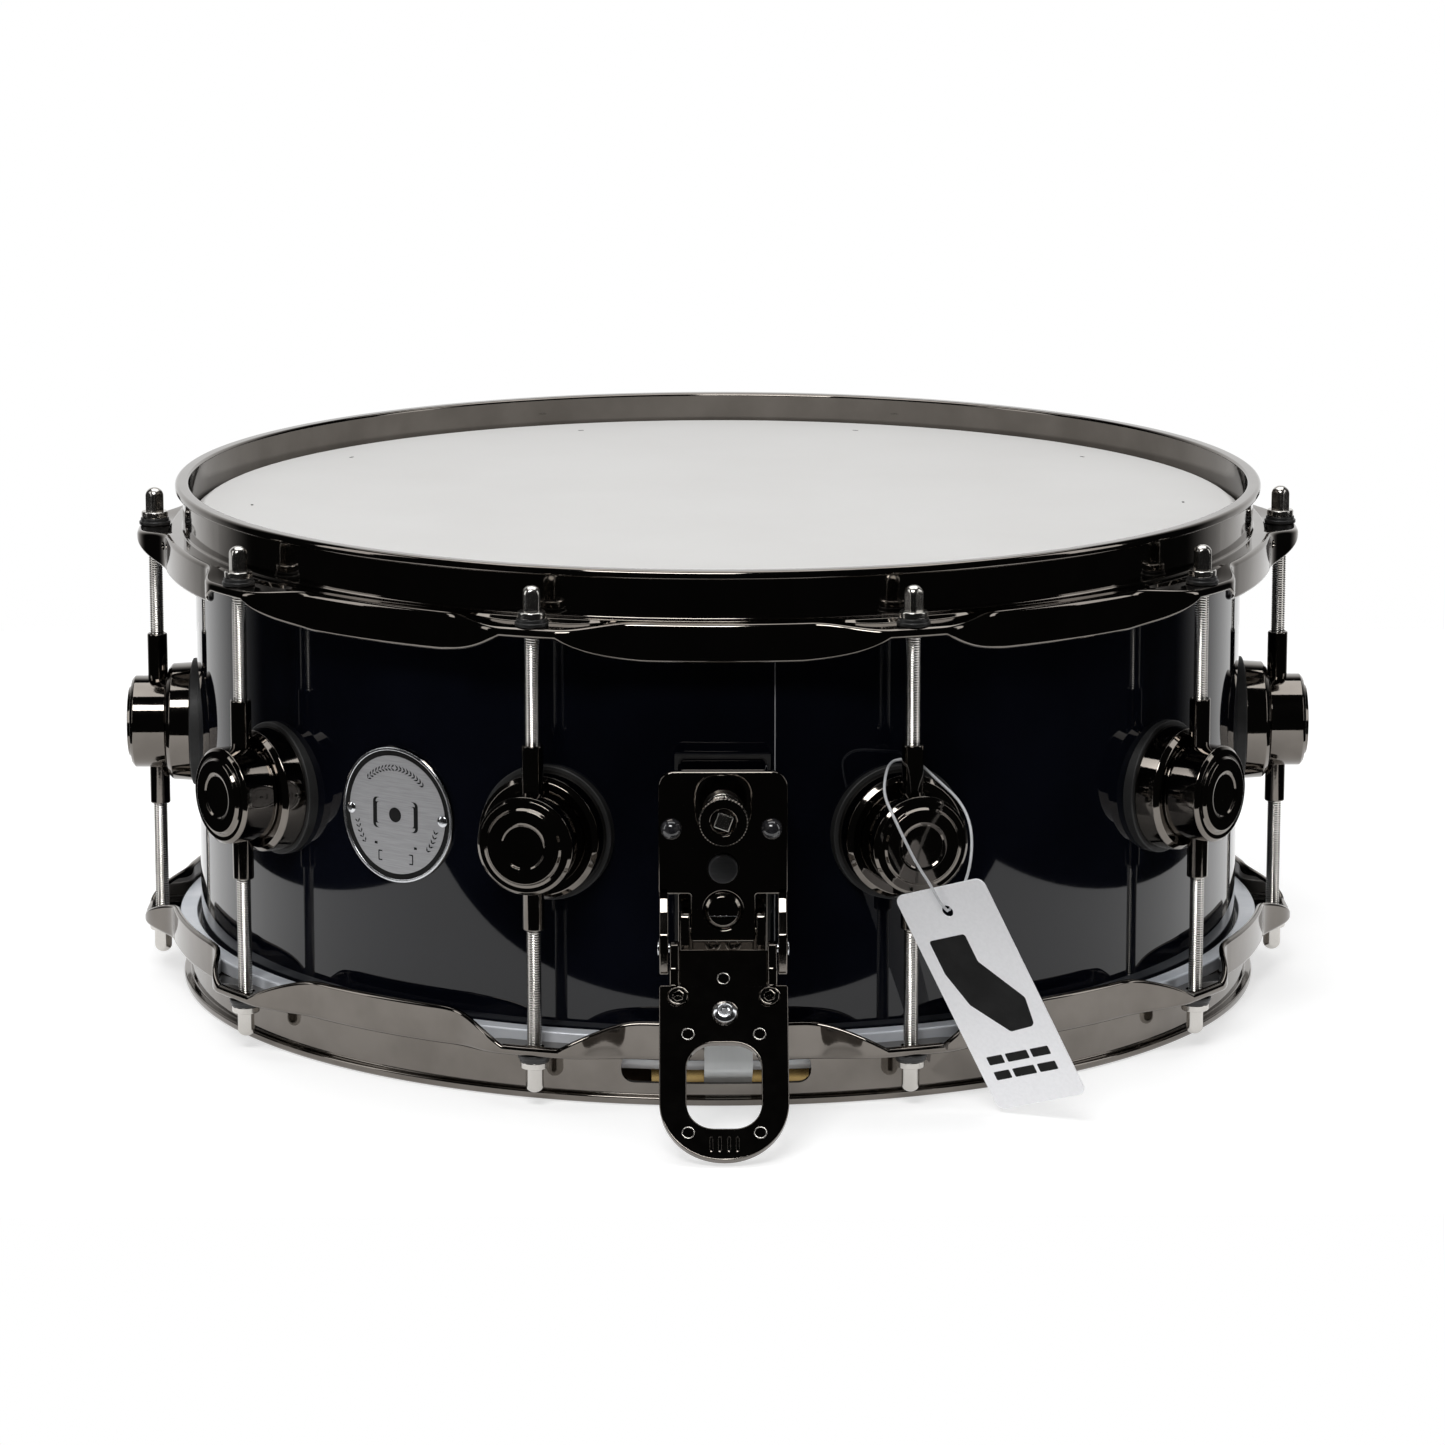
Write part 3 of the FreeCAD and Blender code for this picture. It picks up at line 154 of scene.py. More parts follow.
def lathe(profile, steps=96, closed=False):
    """A profile of (radius, z) turned about Z. Ends that lie on the axis become poles."""
    vertices, rings = [], []
    for radius, z in profile:
        start = len(vertices)
        if radius < 1e-6:
            vertices.append((0, 0, z))
            rings.append([start] * steps)
        else:
            vertices += [(*polar(radius, turn), z) for turn in around(steps)]
            rings.append(list(range(start, start + steps)))
    if closed:
        rings.append(rings[0])
    return np.array(vertices), joined_rings(rings)


def joined_rings(rings):
    """Faces between rings of vertex numbers, leaving out the corners that fall together at a pole."""
    faces = []
    for lower, upper in zip(rings, rings[1:]):
        count = len(lower)
        for index in range(count):
            following = (index + 1) % count
            face = [lower[index], lower[following], upper[following], upper[index]]
            kept = [corner for place, corner in enumerate(face) if corner != face[place - 1]]
            if len(kept) > 2:
                faces.append(kept)
    return faces


def loft(rings, closed_path=True):
    """A skin over a row of closed rings with the same number of points, capped where it doesn't close."""
    size = len(rings[0])
    vertices = np.array([point for ring in rings for point in ring])
    rows = [list(range(size * row, size * (row + 1))) for row in range(len(rings))]
    faces = joined_rings(rows + rows[:1] if closed_path else rows)
    if not closed_path:
        faces += [rows[0][::-1], rows[-1]]
    return vertices, faces


def slab(outline, back, front, edge=0.3, holes=(), bevel_steps=2):
    """A plate drawn in XY between two depths, with its edges rounded and its holes open."""
    curve = bpy.data.curves.new("slab", "CURVE")
    curve.dimensions = "2D"
    curve.fill_mode = "BOTH"
    curve.extrude = (front - back) / 2 - edge
    curve.bevel_depth = edge
    curve.bevel_resolution = bevel_steps
    curve.offset = -edge
    for loop in (outline, *holes):
        spline = curve.splines.new("POLY")
        spline.points.add(len(loop) - 1)
        for point, (x, y) in zip(spline.points, loop):
            point.co = (x, y, 0, 1)
        spline.use_cyclic_u = True
    carrier = bpy.data.objects.new("slab", curve)
    mesh = bpy.data.meshes.new_from_object(carrier)
    vertices = np.array([tuple(vertex.co) for vertex in mesh.vertices])
    vertices[:, 2] += (front + back) / 2
    faces = [list(polygon.vertices) for polygon in mesh.polygons]
    bpy.data.objects.remove(carrier)
    bpy.data.meshes.remove(mesh)
    bpy.data.curves.remove(curve)
    return vertices, faces


def moved(part, matrix):
    """A part carried by a matrix."""
    vertices, faces = part
    turn = np.array(matrix.to_3x3())
    return vertices @ turn.T + np.array(matrix.translation), faces


def both_sides(outline, near, far, edge, place):
    """The same side drawing at the left and at the right of the middle."""
    return [moved(slab(outline, *sorted((side * near, side * far)), edge), place) for side in (-1, 1)]


def wrapped(part, radius, angle):
    """Bends a flat drawing (x along the shell, y up, z outwards) round the shell."""
    vertices, faces = part
    turns = angle + vertices[:, 0] / radius
    bent = np.stack([vertices[:, 2] * np.sin(turns), -vertices[:, 2] * np.cos(turns),
                     MID + vertices[:, 1]], axis=1)
    return bent, faces


MERGE_DISTANCE = 2e-6
SHORTEST_EDGE = 1e-7


def tidy(mesh, sharp):
    """Merges doubled points, turns every face outwards and keeps edges over the sharp angle crisp."""
    work = bmesh.new()
    work.from_mesh(mesh)
    bmesh.ops.remove_doubles(work, verts=work.verts, dist=MERGE_DISTANCE)
    bmesh.ops.dissolve_degenerate(work, edges=work.edges, dist=SHORTEST_EDGE)
    bmesh.ops.recalc_face_normals(work, faces=work.faces)
    work.to_mesh(mesh)
    work.free()
    mesh.shade_smooth()
    mesh.set_sharp_from_angle(angle=math.radians(sharp))


def placed(name, data):
    """A new object in the scene."""
    made = bpy.data.objects.new(name, data)
    bpy.context.scene.collection.objects.link(made)
    return made


def build(name, parts, sharp=35.0):
    """One mesh object from several parts in millimetres."""
    vertices, faces = [], []
    start = 0
    for part_vertices, part_faces in parts:
        vertices.append(part_vertices)
        faces += [[corner + start for corner in face] for face in part_faces]
        start += len(part_vertices)
    mesh = bpy.data.meshes.new(name)
    mesh.from_pydata((np.concatenate(vertices) * MM).tolist(), [], faces)
    tidy(mesh, sharp)
    return placed(name, mesh)


def paint(made, material):
    made.data.materials.clear()
    made.data.materials.append(material)


def fit(made, material, body, replaces=()):
    """Gives a piece its material and body, and hides the CAD nodes it stands for."""
    paint(made, material)
    if made.type == "MESH":
        made.modifiers.new("weighted_normals", "WEIGHTED_NORMAL").keep_sharp = True
    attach(made, body)
    if replaces:
        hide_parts(*replaces)


def piece(name, parts, material, body, replaces=(), sharp=35.0):
    fit(build(name, parts, sharp), material, body, replaces)


def carve(made, cutters, sharp=35.0):
    """Cuts closed parts out of a mesh."""
    tool = build("cutters", cutters)
    modifier = made.modifiers.new("carve", "BOOLEAN")
    modifier.operation = "DIFFERENCE"
    modifier.solver = "EXACT"
    modifier.object = tool
    bpy.context.view_layer.update()
    result = bpy.data.meshes.new_from_object(made.evaluated_get(bpy.context.evaluated_depsgraph_get()))
    made.modifiers.clear()
    old = made.data
    result.name = old.name
    made.data = result
    bpy.data.meshes.remove(old)
    bpy.data.objects.remove(tool)
    tidy(made.data, sharp)


# -------- materials

def shader(name, colour, metallic=0.0, roughness=0.4, **sockets):
    material = bpy.data.materials.new(name)
    material.use_nodes = True
    surface = material.node_tree.nodes["Principled BSDF"]
    surface.inputs["Base Color"].default_value = (*colour, 1)
    surface.inputs["Metallic"].default_value = metallic
    surface.inputs["Roughness"].default_value = roughness
    for socket, number in sockets.items():
        surface.inputs[socket.replace("_", " ")].default_value = number
    return material


def tree(owner):
    return owner.node_tree.nodes, owner.node_tree.links


def noise(material, scale, detail=4.0, stretch=(1, 1, 1)):
    nodes, links = tree(material)
    place = nodes.new("ShaderNodeTexCoord")
    mapping = nodes.new("ShaderNodeMapping")
    mapping.inputs["Scale"].default_value = stretch
    texture = nodes.new("ShaderNodeTexNoise")
    texture.inputs["Scale"].default_value = scale
    texture.inputs["Detail"].default_value = detail
    links.new(place.outputs["Object"], mapping.inputs["Vector"])
    links.new(mapping.outputs["Vector"], texture.inputs["Vector"])
    return texture.outputs["Fac"]


def vary_colour(material, factor, low, high, start=0.35, stop=0.65):
    nodes, links = tree(material)
    ramp = nodes.new("ShaderNodeValToRGB")
    ramp.color_ramp.elements[0].position = start
    ramp.color_ramp.elements[0].color = (*low, 1)
    ramp.color_ramp.elements[1].position = stop
    ramp.color_ramp.elements[1].color = (*high, 1)
    links.new(factor, ramp.inputs["Fac"])
    links.new(ramp.outputs["Color"], nodes["Principled BSDF"].inputs["Base Color"])


def scaled(nodes, links, number, low, high):
    """From low at 0 to high at 1."""
    made = nodes.new("ShaderNodeMapRange")
    made.inputs["To Min"].default_value = low
    made.inputs["To Max"].default_value = high
    links.new(number, made.inputs["Value"])
    return made.outputs["Result"]


def vary_roughness(material, factor, low, high):
    nodes, links = tree(material)
    links.new(scaled(nodes, links, factor, low, high), nodes["Principled BSDF"].inputs["Roughness"])


def bump(material, factor, depth_mm, strength=1.0):
    nodes, links = tree(material)
    relief = nodes.new("ShaderNodeBump")
    relief.inputs["Strength"].default_value = strength
    relief.inputs["Distance"].default_value = depth_mm * MM
    links.new(factor, relief.inputs["Height"])
    links.new(relief.outputs["Normal"], nodes["Principled BSDF"].inputs["Normal"])


def shaded(colour, factor):
    return tuple(min(part * factor, 1) for part in colour)


def plated(name, dark, light, smooth, worn, metallic=1.0):
    """Mirror plating with a faint cloudiness and the finest orange peel."""
    material = shader(name, light, metallic=metallic, roughness=smooth)
    vary_colour(material, noise(material, 60, 3), dark, light)
    vary_roughness(material, noise(material, 240, 6), smooth, worn)
    bump(material, noise(material, 900, 2), 0.004)
    return material


BLACK_NICKEL = plated("black_nickel", (0.150, 0.136, 0.122), (0.180, 0.164, 0.148), 0.03, 0.09)
BRIGHT_STEEL = plated("bright_steel", (0.58, 0.59, 0.61), (0.70, 0.71, 0.73), 0.12, 0.28)
ROD_STEEL = plated("rod_steel", (0.50, 0.48, 0.45), (0.63, 0.61, 0.58), 0.14, 0.30)
END_BRASS = plated("end_plate_brass", (0.62, 0.42, 0.15), (0.80, 0.58, 0.25), 0.12, 0.25)
FLESH_METAL = plated("flesh_aluminium", (0.74, 0.78, 0.84), (0.90, 0.93, 0.98), 0.28, 0.40, 0.3)


def navy_wrap():
    """Deep blue lacquer, almost black, with a thin clear coat."""
    material = shader("navy_wrap", (0.0025, 0.0032, 0.0075), roughness=0.03, Coat_Weight=0.35,
                      Specular_IOR_Level=0.25, Coat_Roughness=0.02)
    vary_colour(material, noise(material, 25, 3), (0.0014, 0.0018, 0.0038), (0.0026, 0.0032, 0.0062))
    vary_roughness(material, noise(material, 400, 5), 0.02, 0.05)
    bump(material, noise(material, 300, 2), 0.0015)
    return material


def maple():
    material = shader("maple", (0.60, 0.38, 0.20), roughness=0.38, Coat_Weight=0.2, Coat_Roughness=0.25)
    grain = noise(material, 90, 6, (1, 1, 0.06))
    vary_colour(material, grain, (0.47, 0.27, 0.13), (0.68, 0.46, 0.26), 0.3, 0.7)
    bump(material, noise(material, 700, 4, (1, 1, 0.05)), 0.02)
    return material


def coated_head():
    """White sprayed coating: a fine even grain with faint cloudiness."""
    material = shader("coated_film", (0.61, 0.605, 0.595), roughness=0.62)
    vary_colour(material, noise(material, 14, 5), (0.595, 0.588, 0.577), (0.625, 0.62, 0.61), 0.3, 0.7)
    vary_roughness(material, noise(material, 1500, 3), 0.55, 0.75)
    bump(material, noise(material, 2600, 3), 0.02, 0.6)
    return material


def clear_film():
    material = shader("clear_film", (0.82, 0.84, 0.86), roughness=0.18, Alpha=0.55)
    vary_roughness(material, noise(material, 30, 3), 0.12, 0.25)
    bump(material, noise(material, 8, 2), 0.05)
    return material


def matt_black(name, light=0.02, roughness=0.5, grain=700, sheen=0.5):
    material = shader(name, (light, light, light), roughness=roughness, Specular_IOR_Level=sheen)
    vary_colour(material, noise(material, 120, 4), (light * 0.7,) * 3, (light * 1.3,) * 3)
    vary_roughness(material, noise(material, 500, 4), roughness - 0.1, roughness + 0.12)
    bump(material, noise(material, grain, 4), 0.02)
    return material


def brushed(name, colour, roughness=0.45, metallic=0.3):
    """Metal with fine scratches round the height axis."""
    material = shader(name, colour, metallic=metallic, roughness=roughness)
    fine = noise(material, 900, 5, (0.15, 0.15, 3))
    vary_colour(material, fine, shaded(colour, 0.88), shaded(colour, 1.08))
    vary_roughness(material, noise(material, 1600, 5), roughness - 0.08, roughness + 0.1)
    bump(material, fine, 0.004)
    return material


def frosted(name, colour, alpha):
    material = shader(name, colour, roughness=0.35, Alpha=alpha)
    vary_colour(material, noise(material, 300, 4, (1, 1, 0.2)), shaded(colour, 0.93), colour)
    vary_roughness(material, noise(material, 800, 4), 0.28, 0.45)
    bump(material, noise(material, 900, 3, (1, 1, 0.15)), 0.01)
    return material


def gel():
    """Clear soft rubber, dark because the black plate shows through it."""
    material = shader("bumper_gel", (0.016, 0.016, 0.018), roughness=0.06, Coat_Weight=0.6)
    vary_colour(material, noise(material, 300, 3), (0.010, 0.010, 0.012), (0.030, 0.030, 0.033))
    vary_roughness(material, noise(material, 500, 4), 0.04, 0.10)
    bump(material, noise(material, 700, 2), 0.004)
    return material


def card(name, colour):
    material = shader(name, colour, roughness=0.55)
    vary_colour(material, noise(material, 900, 6), shaded(colour, 0.96), colour)
    vary_roughness(material, noise(material, 500, 4), 0.48, 0.62)
    bump(material, noise(material, 2200, 5), 0.01)
    return material


NAVY_WRAP = navy_wrap()
MAPLE = maple()
COATED = coated_head()
CLEAR_FILM = clear_film()
RUBBER = matt_black("black_rubber", 0.012, 0.55)
NYLON = matt_black("black_nylon", 0.016, 0.38, 1200)
INK = matt_black("ink", 0.008, 0.5, 1500, 0.12)
MAGNET = brushed("magnet", (0.045, 0.045, 0.047), 0.35)
WRAP_EDGE = card("wrap_edge", (0.30, 0.30, 0.31))
BADGE_FACE = brushed("badge_face", (0.38, 0.38, 0.39))
STRAP_FILM = frosted("strap_film", (0.80, 0.82, 0.82), 0.62)
BUMPER_GEL = gel()
TAG_CARD = card("tag_card", (0.93, 0.93, 0.95))
STRAND = frosted("tag_strand", (0.72, 0.73, 0.75), 0.75)
SNARE_STEEL = plated("snare_steel", (0.52, 0.51, 0.49), (0.66, 0.65, 0.62), 0.16, 0.3)


# -------- camera

CAMERA_PLACE = (-0.01565, -1.95255, 0.4983)
CAMERA_PITCH = math.radians(78.044)
CAMERA_TURN = math.radians(-0.505)
FOCAL_LENGTH = 145.0


def camera():
    lens = bpy.data.cameras.new("camera")
    lens.sensor_width = 36
    lens.lens = FOCAL_LENGTH
    lens.clip_end = 50
    made = placed("camera", lens)
    made.location = CAMERA_PLACE
    made.rotation_euler = (CAMERA_PITCH, 0, CAMERA_TURN)
    bpy.context.scene.camera = made


# -------- hang tag

TAG_LOOP = [
    (69.4, -205.3, 68.6), (67.3, -206.8, 70.8), (64.4, -207.5, 76.6),
    (59.5, -206.6, 84.0), (56.0, -205.6, 91.0), (52.2, -203.0, 98.6),
    (49.6, -198.0, 104.0), (50.4, -190.0, 108.2), (51.8, -181.4, 109.8),
    (54.4, -175.4, 110.2), (60.6, -173.4, 109.6), (66.7, -180.0, 104.8),
    (73.5, -190.0, 100.4), (76.5, -199.0, 95.2), (76.8, -206.0, 88.2),
    (75.2, -209.0, 80.0), (72.3, -207.5, 74.0), (69.9, -204.5, 68.8),
]
LOOP_DIAMETER = 0.0009
TAG = shift((83.0, -203.3, 41.3))
for turn, axis in ((-37.1, "Z"), (-18.3, "Y"), (18.7 + 90, "X")):
    TAG = TAG @ spin(math.radians(turn), axis)

# Back, front and edge rounding of the print on the tag.
TAG_PRINT = (0.2, 0.23, 0.01)


def hang_tag():
    """The tag's own CAD piece with its print, and the strand it hangs on."""
    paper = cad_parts["hang_tag"]
    paint(paper, TAG_CARD)
    mark = soft([(-12.5, 22, 1), (1.5, 22, 1), (1.5, 12, 2), (12, -3, 2), (10.5, -13, 2), (1, -13.5, 1.5),
                 (-9, -2, 2), (-12.5, 10, 2)], 5)
    bars = [rectangle(left, low, right, low + 3.0, 0.4)
            for low in (-23.5, -29.0) for left, right in ((-12.5, -6.5), (-5.2, 3.2), (4.5, 11.5))]
    prints = [moved(slab(outline, *TAG_PRINT), TAG) for outline in (mark, *bars)]
    piece("hang_tag_print", prints, INK, DRUM)
    curve = bpy.data.curves.new("hang_tag_strand", "CURVE")
    curve.dimensions = "3D"
    curve.bevel_depth = LOOP_DIAMETER / 2
    curve.bevel_resolution = 3
    curve.resolution_u = 10
    curve.use_fill_caps = True
    spline = curve.splines.new("NURBS")
    spline.points.add(len(TAG_LOOP) - 1)
    for point, place in zip(spline.points, TAG_LOOP):
        point.co = (*(Vector(place) * MM), 1)
    spline.order_u = 3
    spline.use_endpoint_u = True
    strand = placed("hang_tag_strand", curve)
    fit(strand, STRAND, DRUM, ["tag_loop"])


# -------- hoops

EAR_HALF = 9.0
EAR_FADE = 23
ARCH_FADE = 27
EAR_REACH = 36
SKIRT_THICKNESS = 2.3


def part_way(along, fade):
    return min(max((along - EAR_HALF) / fade, 0.0), 1.0)


def hoop_ring(along, angle):
    """The top hoop's cross-section at an arc distance from a rod."""
    share = part_way(along, EAR_FADE)
    swell = 1 - share * share * (3 - 2 * share)
    out = 187.8 + 9.2 * swell
    low = 57.5 + 7.9 * (1 - part_way(along, ARCH_FADE)) ** 2
    top = 70.0 - 1.5 * swell
    under = 67.7 - 1.5 * swell
    inner = out - SKIRT_THICKNESS
    outline = soft([
        (179.1, 67.7, 0.3), (179.1, 85.7, 1.0), (183.8, 85.7, 1.2), (183.8, 82.9, 0.8), (181.3, 82.9, 0.4),
        (181.3, 70.0, 0.8), (185.2, 70.0, 0.5), (186.2, top, 0.5), (out, top, 1.5), (out, low, 1.1),
        (inner, low, 1.1), (inner, under, 0.8), (185.3, under, 0.2), (184.9, 67.7, 0.2)])
    return [(r * math.sin(angle), -r * math.cos(angle), MID + z) for r, z in outline]


def hoop_stops():
    """Arc distances round the hoop, close together at the ears."""
    pitch = 2 * math.pi * ROD_CIRCLE / ROD_COUNT
    near = [-EAR_REACH + step for step in range(2 * EAR_REACH + 1)]
    far = [EAR_REACH + (pitch - 2 * EAR_REACH) * step / 10 for step in range(1, 10)]
    return near + far, pitch


def hoop_mesh():
    stops, pitch = hoop_stops()
    rings = []
    for angle in ROD_ANGLES:
        for stop in stops:
            along = abs(stop) if stop <= pitch / 2 else pitch - stop
            rings.append(hoop_ring(along, angle + stop / ROD_CIRCLE))
    return loft(rings)


def rod_hole_cutters():
    return [moved(lathe([(0, 60), (3.1, 60), (3.1, 72), (0, 72)], 32), standing(angle, ROD_CIRCLE))
            for angle in ROD_ANGLES]


def side_hole_cutters():
    """Small holes in the upper skirt beside the ears at the left and the right."""
    hole = lathe([(0, 185.0), (1.4, 185.0), (1.4, 191.0), (0, 191.0)], 32)
    return [moved(hole, facing(side * math.radians(81.5), 66.0)) for side in (-1, 1)]


def hoops():
    top = build("top_hoop_cast", [hoop_mesh()])
    carve(top, rod_hole_cutters() + side_hole_cutters())
    fit(top, BLACK_NICKEL, DRUM, ["top_hoop"])
    slot_outline = rectangle(-32, -79.0, 28, -69.5, 4.0)
    gates = [moved(slab(outline, 170.8, 183.8, 0.01), place)
             for outline, place in ((slot_outline, FRONT), (mirrored(slot_outline), BACK))]
    bottom = build("bottom_hoop_cast", [moved(hoop_mesh(), FLIPPED)])
    carve(bottom, [moved(part, FLIPPED) for part in rod_hole_cutters()] + gates)
    fit(bottom, BLACK_NICKEL, DRUM, ["bottom_hoop"])


# -------- heads and shell

def lifted(profile, closed=True):
    return moved(lathe(profile, 360, closed), shift((0, 0, MID)))


def head_profile():
    """The batter film from its middle over the shell's edge into the flesh hoop, and back underneath."""
    fold = soft([
        (165, 76.5), (174.6, 76.45, 3.0), (178.35, 73.6, 2.0), (178.35, 67.2, 0.3), (182.4, 67.2, 0.3),
        (182.4, 64.4), (180.4, 64.4), (180.4, 66.85), (178.05, 66.85), (178.05, 73.45, 1.8),
        (174.5, 76.2, 2.8), (165, 76.2)], 6, closed=False)
    return [(0, 76.5), (60, 76.5), (120, 76.5)] + fold + [(0, 76.2)]


HEAD_MARK_CIRCLE = 158.0
HEAD_MARK_DEGREES = (16, 52, 88, 124.5, 161, -162, -125, -87, -51, -15)


def heads():
    batter = lifted(head_profile(), closed=False)
    piece("batter_head_coated", [batter], COATED, DRUM, ["batter_head_film"], 50)
    piece("snare_head_clear", [moved(batter, FLIPPED)], CLEAR_FILM, DRUM,
          ["snare_head_film"], 50)
    dash = slab(rectangle(-1.1, -0.45, 1.1, 0.45, 0.4), 76.5, 76.53, 0.01)
    marks = [moved(dash, standing(math.radians(degrees), HEAD_MARK_CIRCLE)) for degrees in HEAD_MARK_DEGREES]
    piece("batter_head_marks", marks, INK, DRUM)
    channel = lifted(soft([
        (178.8, 63.0, 0.5), (184.8, 63.0, 0.7), (184.8, 67.5, 0.4), (183.4, 67.5, 0.4), (183.4, 64.3, 0.3),
        (180.2, 64.3, 0.3), (180.2, 66.8, 0.3), (178.8, 66.8, 0.3)]))
    piece("batter_flesh_hoop_rolled", [channel], FLESH_METAL, DRUM, ["batter_flesh_hoop"])
    piece("snare_flesh_hoop_rolled", [moved(channel, FLIPPED)], FLESH_METAL, DRUM,
          ["snare_flesh_hoop"])


SEAM_ANGLE = math.radians(5.3)
SEAM_WIDTH = 0.4
WRAP_INSIDE = 177.02
WRAP_HALF_HEIGHT = 72.9
WRAP_STEPS = 720


def shell():
    wood = lifted(soft([
        (177.0, -74.0, 0.4), (177.0, 74.0, 0.4), (174.5, 76.2, 0.3), (170.8, 72.5), (170.8, -72.5),
        (174.5, -76.2, 0.3)]))
    piece("shell_plies", [wood], MAPLE, DRUM, ["shell"])
    ring = ((170.8, 34.5), (170.8, 72.5), (165, 66.7), (165, 36), (166.5, 34.5))
    rings = [lifted([(r, side * z) for r, z in ring]) for side in (1, -1)]
    piece("shell_reinforcement_rings", rings, MAPLE, DRUM, ["reinforcement_rings"])
    lip = WRAP_HALF_HEIGHT - 0.15
    section = ((WRAP_INSIDE, -WRAP_HALF_HEIGHT), (177.35, -WRAP_HALF_HEIGHT), (WRAP_RADIUS, -lip),
               (WRAP_RADIUS, lip), (177.35, WRAP_HALF_HEIGHT), (WRAP_INSIDE, WRAP_HALF_HEIGHT))
    width = SEAM_WIDTH / WRAP_RADIUS
    rounds = []
    for step in range(WRAP_STEPS + 1):
        angle = SEAM_ANGLE + width / 2 + (2 * math.pi - width) * step / WRAP_STEPS
        rounds.append([(r * math.sin(angle), -r * math.cos(angle), MID + z) for r, z in section])
    piece("shell_lacquer_wrap", [loft(rounds, False)], NAVY_WRAP, DRUM, ["finish_wrap"])
    edge = slab(rectangle(-0.19, -WRAP_HALF_HEIGHT, 0.19, WRAP_HALF_HEIGHT), WRAP_INSIDE, 177.4, 0.03)
    piece("shell_wrap_edge", [moved(edge, facing(SEAM_ANGLE))], WRAP_EDGE, DRUM)


# -------- lugs and rods

def lug():
    """A turret with a stepped face, a round body and a wider foot."""
    return lathe(soft([
        (0, 200.9), (6.7, 200.9, 0.2), (7.2, 201.35, 0.25), (7.9, 201.5, 0.2), (11.7, 201.5, 0.4),
        (12.4, 200.5, 0.3), (13.2, 200.3, 0.2), (14.6, 200.3, 0.3), (15.7, 199.3, 0.6), (15.7, 188.4, 0.4),
        (15.0, 188.1, 0.2), (15.0, 187.8, 0.2), (18.3, 187.8, 0.6), (19.9, 186.4, 0.8), (20.3, 179.6, 0.3),
        (0, 179.6)], 4, closed=False))


def lug_seat():
    """A rubber disc with a flat front, hollowed to sit on the round shell."""
    vertices, faces = lathe(soft([
        (2.75, 178.9), (2.75, 179.6), (21.7, 179.6, 0.5), (21.7, 178.9)], 4), 96, True)
    back = vertices[:, 2] < 179.0
    vertices[back, 2] = np.sqrt(SKIN_RADIUS ** 2 - vertices[back, 0] ** 2)
    return vertices, faces


def lugs():
    turrets = [moved(lug(), facing(angle)) for angle in ROD_ANGLES]
    piece("lug_turrets_turned", turrets, BLACK_NICKEL, DRUM, ["lug_turrets"], 30)
    seats = [moved(lug_seat(), facing(angle)) for angle in ROD_ANGLES]
    piece("lug_rubber_seats", seats, RUBBER, DRUM, ["lug_gaskets"])
    bar = lathe(soft([
        (2.45, -28.5, 0.2), (3.4, -28.5, 0.5), (3.4, 30.8, 0.5), (2.45, 30.8, 0.2)], 3), 48, True)
    tubes = [moved(bar, standing(angle, ROD_CIRCLE)) for angle in ROD_ANGLES]
    piece("lug_tubes_plated", tubes, BLACK_NICKEL, DRUM, ["lug_tubes"])


THREAD_PITCH = 0.79


def threaded_shaft(low, high, crest=2.4, root=2.12, steps=20, per_turn=5):
    """A rod with a real helical thread between two heights."""
    count = int((high - low) / THREAD_PITCH * per_turn)
    rings = []
    for row in range(count + 1):
        z = low + (high - low) * row / count
        ring = []
        for turn in around(steps):
            phase = (z / THREAD_PITCH + turn / (2 * math.pi)) % 1
            radius = root + (crest - root) * (1 - abs(2 * phase - 1))
            ring.append((*polar(radius, turn), z))
        rings.append(ring)
    return loft(rings, False)


def key_head(low=73.0, high=81.2, half=2.6, corner=3.05, dome=2.8):
    """A square head with turned-down corners and a domed top."""
    rings = []
    shoulder = high - dome
    heights = [shoulder + dome * math.sin(math.pi / 2 * part / 8) for part in range(8)]
    for z in [low, *heights]:
        rise = max(z - shoulder, 0) / dome
        turned = corner * math.sqrt(max(1 - rise ** 2, 0))
        ring = []
        for turn in around(64):
            flat = half / max(abs(math.cos(turn)), abs(math.sin(turn)))
            ring.append((*polar(min(turned, flat), turn), z))
        rings.append(ring)
    return loft(rings, False)


def tension_rod():
    collar = lathe(soft([(0, 70.95), (4.5, 70.95, 0.3), (4.5, 73.1, 0.5), (0, 73.1)], 4, closed=False), 48)
    neck = lathe(soft([(0, 66.5), (2.4, 66.5), (2.4, 71.2), (0, 71.2)], 4, closed=False), 32)
    return [threaded_shaft(2.0, 67.0), neck, collar, key_head()]


# How far each upper key head stands turned from square to the front (degrees), from rod 1 round.
KEY_TURNS = (40, 10, 45, 20, 65, 30, 75, 45, 23, 8)
# The lower key heads are turned by a step from rod to rod (degrees).
LOWER_TURN_STEP = 23
LOWER_TURN_START = 9


